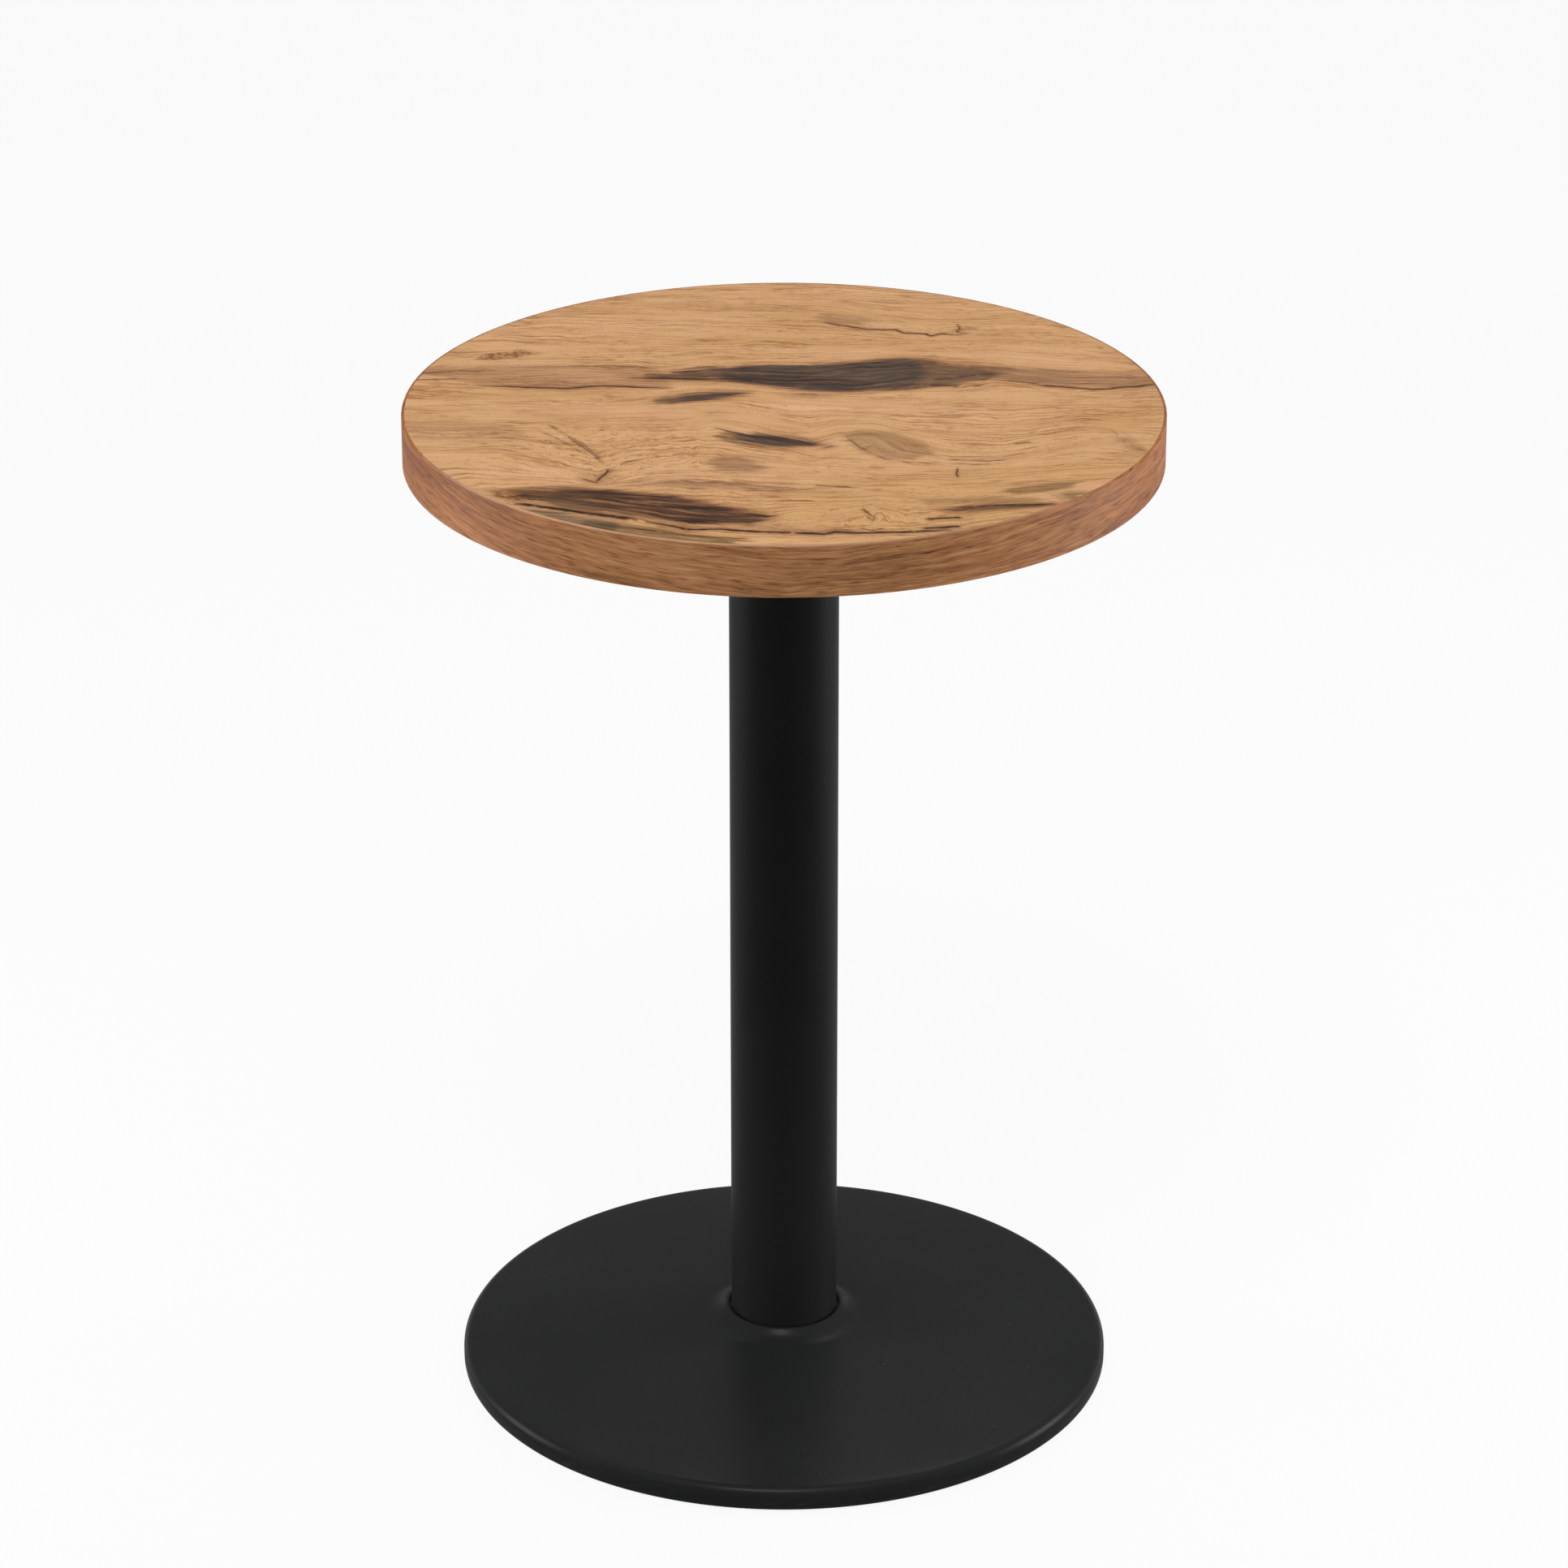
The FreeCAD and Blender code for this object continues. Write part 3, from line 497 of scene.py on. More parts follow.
@dataclass(frozen=True)
class SoftCast:
    """The rounded edges and filled corners that a sand casting has.

    The grain is the size of the new faces in mm, and rounds is how often corners are evened out.
    """

    grain: float
    rounds: int
    bores: list[Bore]

    def copy(self, name: str, node: str, material: bpy.types.Material) -> bpy.types.Object:
        """Makes a soft-edged copy of a CAD node.

        Args:
            name: The new piece's name.
            node: The CAD node.
            material: The new piece's material.

        Returns:
            The new piece.
        """
        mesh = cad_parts[node].data.copy()
        cleaned(mesh, outwards=False)
        thing = place_mesh(name, mesh)
        remesh = thing.modifiers.new("grain", "REMESH")
        remesh.mode, remesh.voxel_size, remesh.use_smooth_shade = "VOXEL", self.grain * MM, True
        even = thing.modifiers.new("even", "SMOOTH")
        even.iterations, even.factor = self.rounds, 0.5
        settled(thing, outwards=False, crease=60)
        points = np.zeros(len(thing.data.vertices) * 3)
        thing.data.vertices.foreach_get("co", points)
        points = points.reshape(-1, 3)
        for bore in self.bores:
            bore.clear(points)
        thing.data.vertices.foreach_set("co", points.ravel())
        thing.data.update()
        coat(thing.data, material)
        return thing


# Finishes


@dataclass(frozen=True)
class RusticOak:
    """The printed oak sheet of the top: warm tan with wavy grain, dark stains, brown bands and splits."""

    name: str = "oak_decor"
    shadow: Colour = paint(190, 139, 91)
    body: Colour = paint(216, 166, 114)
    warm: Colour = paint(225, 175, 125)
    light: Colour = paint(236, 190, 144)
    line_spacing: float = 4.6

    def make(self) -> bpy.types.Material:
        """Builds the material, which reads the grain and the marks from the mesh."""
        w = Wiring(self.name)
        flow = w.read("flow", "Vector")
        along, across, _ = w.axes(flow)
        curl = w.mark(Shade.CURL, -12.0, 8.0)
        quiver = w.swing(flow, 9, 6, 5.0) * (curl + 0.35)
        level = w.vector(along, across + w.swing(flow, 110, 46, 20.0) + w.swing(flow, 34, 15, 8.0, 3.0) + quiver)
        ring = w.grain(level, 260, 22, 5, 0.6)
        streak = w.grain(level, 95, 5.2, 4, 0.6)
        fibre = w.grain(level, 24, 2.4, 3, 0.65)
        stops = {0.33: self.shadow, 0.44: self.body, 0.54: self.warm, 0.67: self.light}
        w.colour = w.ramp(ring * 0.40 + streak * 0.34 + fibre * 0.26, stops)
        dashes = self.lines(w, flow, level, curl)
        fray, blur = w.swing(level, 44, 3.0, 21.0, 4.0), w.swing(level, 90, 12, 12.0)
        olive = self.tints(w, flow, streak, fibre, fray, blur)
        self.stains(w, w.grain(level, 70, 4.2, 5, 0.68), fibre, fray, blur)
        w.lay(olive * 0.35, paint(120, 104, 76))
        slit = self.cracks(w, flow)
        w.stain(w.rise(w.grain(flow, 1.6, 0.7, 1), 0.52, 0.72), paint(232, 224, 214))
        height = fibre * 0.5 + dashes * -0.5 + slit * -1.2
        sheen = fibre * 0.14 + streak * 0.10 + 0.46
        return w.set(Roughness=sheen, Specular_IOR_Level=0.12, Normal=w.bump(height, 0.14))

    def lines(self, w: Wiring, flow: Value, level: Value, curl: Value) -> Value:
        """Draws the growth lines, the thin wavy lines and the pores, and hands back where the pores are."""
        drift = w.swing(level, 170, 30, 26.0) + w.swing(level, 42, 9, 7.0)
        wave = w.math("SINE", w.axes(level)[1] * (math.tau / self.line_spacing) + drift)
        growth = w.rise(wave, 0.35, 0.98) * w.rise(w.grain(level, 120, 16, 3), 0.40, 0.60)
        w.stain(growth * 0.65, paint(200, 178, 154))
        for long, wide, thin, strength in ((120, 8.5, 0.034, 0.7), (60, 5.2, 0.030, 0.45)):
            line = w.rise(abs(w.grain(level, long, wide, 3, 0.55) - 0.5), thin, 0.0)
            gate = w.rise(w.grain(level, long * 0.6, wide * 3), 0.40, 0.60)
            w.stain(line * gate * strength, paint(190, 168, 146))
        gate = w.math("MINIMUM", w.rise(w.grain(flow, 70, 30), 0.38, 0.66) + curl, 1.0)
        dashes = w.rise(w.grain(level, 9, 1.9, 2, 0.6), 0.54, 0.70) * gate
        w.stain(dashes * 0.75, paint(190, 164, 140))
        return dashes

    def tints(self, w: Wiring, flow: Value, streak: Value, fibre: Value, fray: Value, blur: Value) -> Value:
        """Lays on the brown, gold, grey, olive, pale and amber marks, and hands back where the olive ones are."""
        brown = w.mark(Shade.BROWN, -3.5, 4.5, fray * 0.7, blur * 0.6)
        w.stain(brown, w.ramp(streak, {0.38: paint(176, 168, 174), 0.62: paint(228, 220, 222)}))
        w.stain(w.mark(Shade.GOLD, -9.0, 8.0, fray, blur), paint(240, 238, 218))
        grey = w.ramp(fibre, {0.38: paint(100, 76, 54), 0.60: paint(152, 120, 92)})
        w.lay(w.mark(Shade.GREY, -3.0, 4.0, fray * 0.6), grey)
        olive = w.mark(Shade.OLIVE, -2.5, 3.0, fray * 0.6)
        w.stain(olive, w.ramp(fibre, {0.38: paint(150, 136, 106), 0.60: paint(214, 204, 174)}))
        pale = w.ramp(streak, {0.40: paint(214, 158, 114), 0.60: paint(236, 184, 142)})
        w.lay(w.mark(Shade.PALE, -2.5, 2.5, fray * 0.35), pale)
        stops = {0.40: paint(104, 66, 34), 0.50: paint(156, 108, 62), 0.60: paint(204, 152, 98)}
        amber = w.ramp(w.grain(flow, 4.2, 2.2, 3, 0.6), stops)
        w.lay(w.mark(Shade.AMBER, -2.5, 2.5, fray * 0.4), amber)
        return olive

    def stains(self, w: Wiring, vein: Value, fibre: Value, fray: Value, blur: Value) -> None:
        """Lays on the umber and the dark stains, each with a halo round it."""
        umber = {0.39: paint(34, 14, 5), 0.47: paint(60, 33, 16), 0.54: paint(94, 60, 35), 0.63: paint(152, 106, 68)}
        soot = {0.34: paint(36, 26, 22), 0.44: paint(62, 47, 39), 0.54: paint(88, 68, 55), 0.66: paint(122, 90, 68)}
        for shade, stops, fringe, soft in ((Shade.UMBER, umber, 0.85, 4.0), (Shade.DARK, soot, 1.0, 4.2)):
            frayed = fray * fringe
            w.stain(w.mark(shade, -10.0, 1.0, frayed) * 0.55, paint(194, 168, 150))
            ink = w.blend(w.rise(fibre, 0.54, 0.68) * 0.4, w.ramp(vein, stops), paint(150, 112, 84))
            w.lay(w.mark(shade, -soft, soft, frayed, blur * (0.5 * fringe)), ink)

    def cracks(self, w: Wiring, flow: Value) -> Value:
        """Draws the cracks with their shaded sides, and hands back where they are open."""
        wander, broken = w.swing(flow, 7, 4, 2.4, 3.0), w.grain(flow, 13, 13)
        slit, shade = 0.0, 0.0
        for layer in range(len(CRACKS)):
            gap = abs(w.read(f"crack_{layer}") + wander)
            strength = w.read(f"crack_{layer}_depth")
            deep = strength * w.rise(broken + strength * 0.22, 0.46, 0.60)
            shade = w.math("MAXIMUM", shade, w.rise(gap, 5.5, 0.4) * deep)
            slit = w.math("MAXIMUM", slit, w.rise(gap, 1.5, 0.4) * deep)
        w.stain(shade * 0.5, paint(178, 142, 114))
        w.lay(slit, paint(48, 31, 22))
        return slit


@dataclass(frozen=True)
class OakStrip:
    """The edge strip: redder oak whose grain runs along it, darkened by painted shade on its sides and back, with a
    pale painted highlight along the top arris at the front.
    """

    name: str = "oak_edge"
    radius: float = 260.0
    top: float = 730.0
    foot: float = 695.0

    def make(self) -> bpy.types.Material:
        """Builds the material from the angle round the top and the height."""
        w = Wiring(self.name)
        x, y, z = w.axes(w.place)
        angle = w.math("ARCTAN2", x, y * -1.0)
        along, height = angle * self.radius, z * (1 / MM)
        flow = w.vector(along, height)
        across = height + along * 0.02 + abs(along) * -0.05
        level = w.vector(along, across + w.swing(flow, 80, 30, 9.0) + w.swing(flow, 18, 8, 1.6))
        broad = w.grain(level, 190, 13, 4, 0.6)
        streak = w.grain(level, 46, 2.4, 4, 0.62)
        fibre = w.grain(level, 14, 1.1)
        dark, body, warm, light = paint(116, 72, 41), paint(153, 103, 63), paint(172, 120, 77), paint(194, 142, 98)
        stops = {0.37: dark, 0.47: body, 0.53: warm, 0.63: light}
        w.colour = w.ramp(broad * 0.35 + streak * 0.43 + fibre * 0.22, stops)
        dash = w.rise(w.grain(level, 17, 1.3), 0.55, 0.70) * 0.75
        w.stain(dash, paint(170, 138, 114))
        # Painted shade: the strip is darkened and reddened on its sides and back, away from the front.
        w.stain(w.rise(abs(angle), 0.25, 1.25) * 0.8, paint(255, 226, 198))
        # Painted highlight: a pale line along the top arris, palest at the front left and gone towards the sides and
        # back; the height is frayed a little first.
        worn = height + w.swing(flow, 9, 3, 0.5)
        front = w.rise(abs(angle + 0.1), 1.2, 0.75)
        stops = {0.0: paint(228, 184, 154), 0.45: paint(208, 164, 126), 1.0: paint(160, 118, 84)}
        w.lay(w.rise(worn, self.top - 1.0, self.top - 0.3) * (front * 0.55), w.ramp(w.rise(angle, -1.5, 1.4), stops))
        w.lay(w.rise(worn, self.foot, self.foot - 0.7) * 0.5, paint(188, 146, 110))
        relief = w.bump(fibre * 0.6 + dash * -0.6, 0.12)
        return w.set(Roughness=fibre * 0.16 + 0.44, Specular_IOR_Level=0.2, Normal=relief)


@dataclass(frozen=True)
class ChipBoard:
    """Raw particle board: pressed chips of several tans."""

    name: str = "particle_board"
    chip: Place = (0.004, 0.004, 0.0014)

    def make(self) -> bpy.types.Material:
        """Builds the material."""
        w = Wiring(self.name)
        spots = w.stretch(w.place, *self.chip)
        chip = w.noise(w.cells(spots, output=1), 3.0)
        chips = w.ramp(chip, {0.3: paint(150, 118, 82), 0.5: paint(190, 160, 118), 0.7: paint(214, 190, 150)})
        gap = w.rise(w.cells(spots, "DISTANCE_TO_EDGE"), 0.0, 0.12)
        w.colour = w.blend(gap, paint(120, 92, 62), chips)
        return w.set(Roughness=0.85, Specular_IOR_Level=0.2, Normal=w.bump(gap, 0.25))


@dataclass(frozen=True)
class BackingSheet:
    """The matt dark balancing sheet under the board, with paper mottling and a few light rubs."""

    name: str = "backing_sheet"

    def make(self) -> bpy.types.Material:
        """Builds the material."""
        w = Wiring(self.name)
        cloud = w.noise(w.place, 14.0, 4)
        w.colour = w.ramp(cloud, {0.35: paint(52, 45, 39), 0.65: paint(66, 58, 51)})
        rub = w.noise(w.stretch(w.place, 0.09, 0.0016, 1.0))
        w.lay(w.rise(rub, 0.68, 0.78) * w.rise(cloud, 0.5, 0.62) * 0.35, paint(104, 96, 86))
        relief = w.bump(w.noise(w.place, 900.0), 0.05)
        return w.set(Roughness=cloud * 0.2 + 0.5, Specular_IOR_Level=0.3, Normal=relief)


@dataclass(frozen=True)
class PowderCoat:
    """Baked powder paint on steel: a fine skin, faint clouds, dust on level faces, rubbed low edges and, where asked,
    painted light that makes it lighter towards the foot.
    """

    name: str
    colour: Colour
    cloudy: Colour
    roughness: float
    skin: float
    skin_size: float
    shine: float
    rub_below: float = 0.0
    painted_light_below: float = 0.0

    def make(self) -> bpy.types.Material:
        """Builds the material."""
        w = Wiring(self.name)
        fine = w.noise(w.place, 1 / (self.skin_size * MM), 2, 0.55)
        cloud = w.noise(w.place, 9.0, 4, 0.6)
        w.colour = w.blend(w.rise(cloud, 0.35, 0.7), self.colour, self.cloudy)
        up = w.axes(w.out("ShaderNodeNewGeometry", output="Normal"))[2]
        speck = w.rise(w.noise(w.place, 420.0), 0.66, 0.80)
        dust = w.rise(up, 0.6, 0.98) * speck * w.rise(cloud, 0.4, 0.7)
        w.lay(dust * 0.28, paint(120, 118, 112))
        gloss = cloud * 0.12 + dust * 0.2 + (self.roughness - 0.06)
        z = w.axes(w.place)[2]
        # Painted light: the coat turns lighter towards the foot, standing in for light thrown up from the floor.
        if self.painted_light_below:
            w.lay(w.rise(z, self.painted_light_below * MM, 10 * MM), paint(36, 36, 36))
        if self.rub_below:
            scratch = w.noise(w.stretch(w.place, 0.012, 0.012, 0.0012), detail=3)
            low = w.rise(z, self.rub_below * MM, self.rub_below * 0.3 * MM) * w.rise(scratch, 0.58, 0.72)
            w.lay(low * 0.35, paint(92, 92, 92))
            gloss = gloss + low * -0.1
        return w.set(Roughness=gloss, Specular_IOR_Level=self.shine, Normal=w.bump(fine, self.skin))


@dataclass(frozen=True)
class BareMetal:
    """Plated or oiled metal: soft clouds in the plating, fine turning marks and small stains."""

    name: str
    colour: Colour = paint(196, 198, 198)
    stain: Colour = paint(176, 176, 168)
    roughness: float = 0.34

    def make(self) -> bpy.types.Material:
        """Builds the material."""
        w = Wiring(self.name)
        cloud = w.noise(w.place, 130.0, 4, 0.6)
        marks = w.noise(w.stretch(w.place, 0.006, 0.006, 0.00035))
        w.colour = w.blend(w.rise(cloud, 0.42, 0.74), self.colour, self.stain)
        spot = w.rise(w.noise(w.place, 620.0), 0.70, 0.80)
        w.lay(spot * 0.5, paint(104, 94, 82))
        gloss = cloud * 0.22 + marks * 0.10 + spot * 0.2 + (self.roughness - 0.14)
        return w.set(Metallic=1.0, Roughness=gloss, Normal=w.bump(marks, 0.012))


@dataclass(frozen=True)
class SandCast:
    """The dipped skin of a sand casting: pitted, uneven, with thin paint and a little rust in the pits."""

    name: str = "iron_casting"
    colour: Colour = paint(46, 46, 47)
    worn: Colour = paint(66, 64, 62)
    rust: float = 0.5
    depth: float = 0.35

    def make(self) -> bpy.types.Material:
        """Builds the material."""
        w = Wiring(self.name)
        cloud = w.noise(w.place, 16.0, 4, 0.6)
        skin = w.noise(w.place, 300.0, 3, 0.6) * 0.6 + w.noise(w.place, 1100.0, 2, 0.6) * 0.4
        w.colour = w.blend(w.rise(cloud, 0.35, 0.7), self.colour, self.worn)
        w.lay(w.rise(skin, 0.46, 0.34) * 0.6, paint(24, 24, 25))
        pits = w.rise(w.noise(w.place, 90.0, 4, 0.7), 0.60, 0.72) * w.rise(cloud, 0.5, 0.66)
        w.lay(pits * self.rust, paint(104, 62, 38))
        gloss = skin * 0.2 + pits * 0.2 + 0.5
        return w.set(Roughness=gloss, Specular_IOR_Level=0.35, Normal=w.bump(skin, self.depth))


@dataclass(frozen=True)
class Moulded:
    """Moulded nylon or rubber: a fine matt skin with lighter scuffs where it meets the floor."""

    name: str
    colour: Colour
    scuff: Colour
    roughness: float
    scuff_below: float = 0.0

    def make(self) -> bpy.types.Material:
        """Builds the material."""
        w = Wiring(self.name)
        cloud = w.noise(w.place, 60.0, 3)
        w.colour = w.blend(w.rise(cloud, 0.3, 0.7), self.colour, paint(40, 40, 41))
        rub = w.rise(w.noise(w.stretch(w.place, 0.004, 0.0007, 0.002), detail=3), 0.46, 0.62)
        low = rub * (w.rise(w.axes(w.place)[2], self.scuff_below * MM, 0.0) if self.scuff_below else 0.25)
        w.lay(low * 0.6, self.scuff)
        gloss = cloud * 0.15 + low * 0.15 + (self.roughness - 0.06)
        return w.set(Roughness=gloss, Specular_IOR_Level=0.4, Normal=w.bump(w.noise(w.place, 1500.0), 0.03))


FINISHES = (
    RusticOak(),
    OakStrip(),
    ChipBoard(),
    BackingSheet(),
    PowderCoat(
        "column_coat", paint(19, 19, 20), paint(23, 23, 24),
        roughness=0.44, skin=0.08, skin_size=0.9, shine=0.065, painted_light_below=300.0,
    ),
    PowderCoat(
        "cover_coat", paint(34, 35, 35), paint(37, 38, 38),
        roughness=0.3, skin=0.03, skin_size=1.3, shine=0.07, rub_below=14.0,
    ),
    SandCast("spider_coat", paint(32, 32, 33), paint(40, 40, 41), rust=0.0, depth=0.22),
    SandCast(),
    BareMetal("zinc_steel"),
    BareMetal("spring_steel", paint(92, 92, 96), paint(70, 66, 64), roughness=0.42),
    BareMetal("insert_brass", paint(206, 178, 110), paint(176, 142, 84), roughness=0.32),
    BareMetal("glide_steel", roughness=0.3),
    Moulded("soft_pad", paint(30, 30, 31), paint(60, 60, 60), roughness=0.75),
    Moulded("glide_plastic", paint(26, 26, 27), paint(122, 120, 116), roughness=0.48, scuff_below=1.2),
)


# The oak print


@dataclass(frozen=True)
class Patch:
    """One shaded area of the oak print: its strength, and x and y of each corner in mm from the middle of the top."""

    strength: float
    outline: tuple[float, ...]

    def depth(self, points: np.ndarray) -> np.ndarray:
        """How far points lie inside the outline, in mm, below zero outside."""
        corners = np.array(self.outline, float).reshape(-1, 2)
        nearest = np.full(len(points), np.inf)
        inside = np.zeros(len(points), bool)
        for start, end in zip(corners, np.roll(corners, -1, axis=0)):
            edge = end - start
            share = np.clip(((points - start) @ edge) / (edge @ edge), 0, 1)
            nearest = np.minimum(nearest, np.linalg.norm(points - start - share[:, None] * edge, axis=1))
            if start[1] != end[1]:
                crosses = (start[1] > points[:, 1]) != (end[1] > points[:, 1])
                inside ^= crosses & (points[:, 0] < edge[0] * (points[:, 1] - start[1]) / edge[1] + start[0])
        return np.where(inside, nearest, -nearest)


@dataclass(frozen=True)
class Split:
    """A crack in the oak print: how wide it opens, how dark it is, and x and y of each corner of its line in mm."""

    width: float
    strength: float
    line: tuple[float, ...]

    @property
    def corners(self) -> np.ndarray:
        """The corners of the line, one in each row."""
        return np.array(self.line, float).reshape(-1, 2)

    def reach(self, points: np.ndarray) -> tuple[np.ndarray, np.ndarray]:
        """How far points lie to one side of the crack, in widths, and how strong it is beside them."""
        runs = np.linalg.norm(np.diff(self.corners, axis=0), axis=1)
        whole, done = runs.sum(), 0.0
        nearest, side, where = np.full(len(points), np.inf), np.ones(len(points)), np.zeros(len(points))
        for start, end, run in zip(self.corners, self.corners[1:], runs):
            edge = (end - start) / run
            along = (points - start) @ edge
            off = points - start - np.clip(along, 0, run)[:, None] * edge
            far = np.linalg.norm(off, axis=1)
            closer = far < nearest
            nearest[closer] = far[closer]
            cross = edge[0] * off[:, 1] - edge[1] * off[:, 0]
            side[closer] = np.where(cross[closer] < 0, -1.0, 1.0)
            where[closer] = done + np.clip(along, 0, run)[closer]
            done += run
        taper = np.clip(np.minimum(where, whole - where) / (0.16 * whole) + 0.15, 0, 1)
        return side * nearest / self.width, self.strength * taper * np.clip(1.6 - nearest / 9, 0, 1)

    def clear_of(self, other: "Split") -> float:
        """The distance in mm between the corners of one crack and the line of the other, the lesser way round."""
        ways = ((self, other), (other, self))
        return min(np.abs(one.reach(two.corners)[0]).min() * one.width for one, two in ways)


@dataclass(frozen=True)
class Eye:
    """A knot that the grain bends round: its place and its size along and across the grain in mm, and its push."""

    x: float
    y: float
    long: float
    wide: float
    push: float


def layered(splits: tuple[Split, ...], spacing: float = 33.0) -> list[list[Split]]:
    """Sorts cracks into layers in which they lie apart, so that the field of one doesn't cut another's.

    Args:
        splits: The cracks.
        spacing: The least distance in mm between two cracks of one layer.

    Returns:
        The layers, each a list of cracks.
    """
    layers: list[list[Split]] = []
    for split in splits:
        free = [layer for layer in layers if all(split.clear_of(other) > spacing for other in layer)]
        if free:
            free[0].append(split)
        else:
            layers.append([split])
    return layers


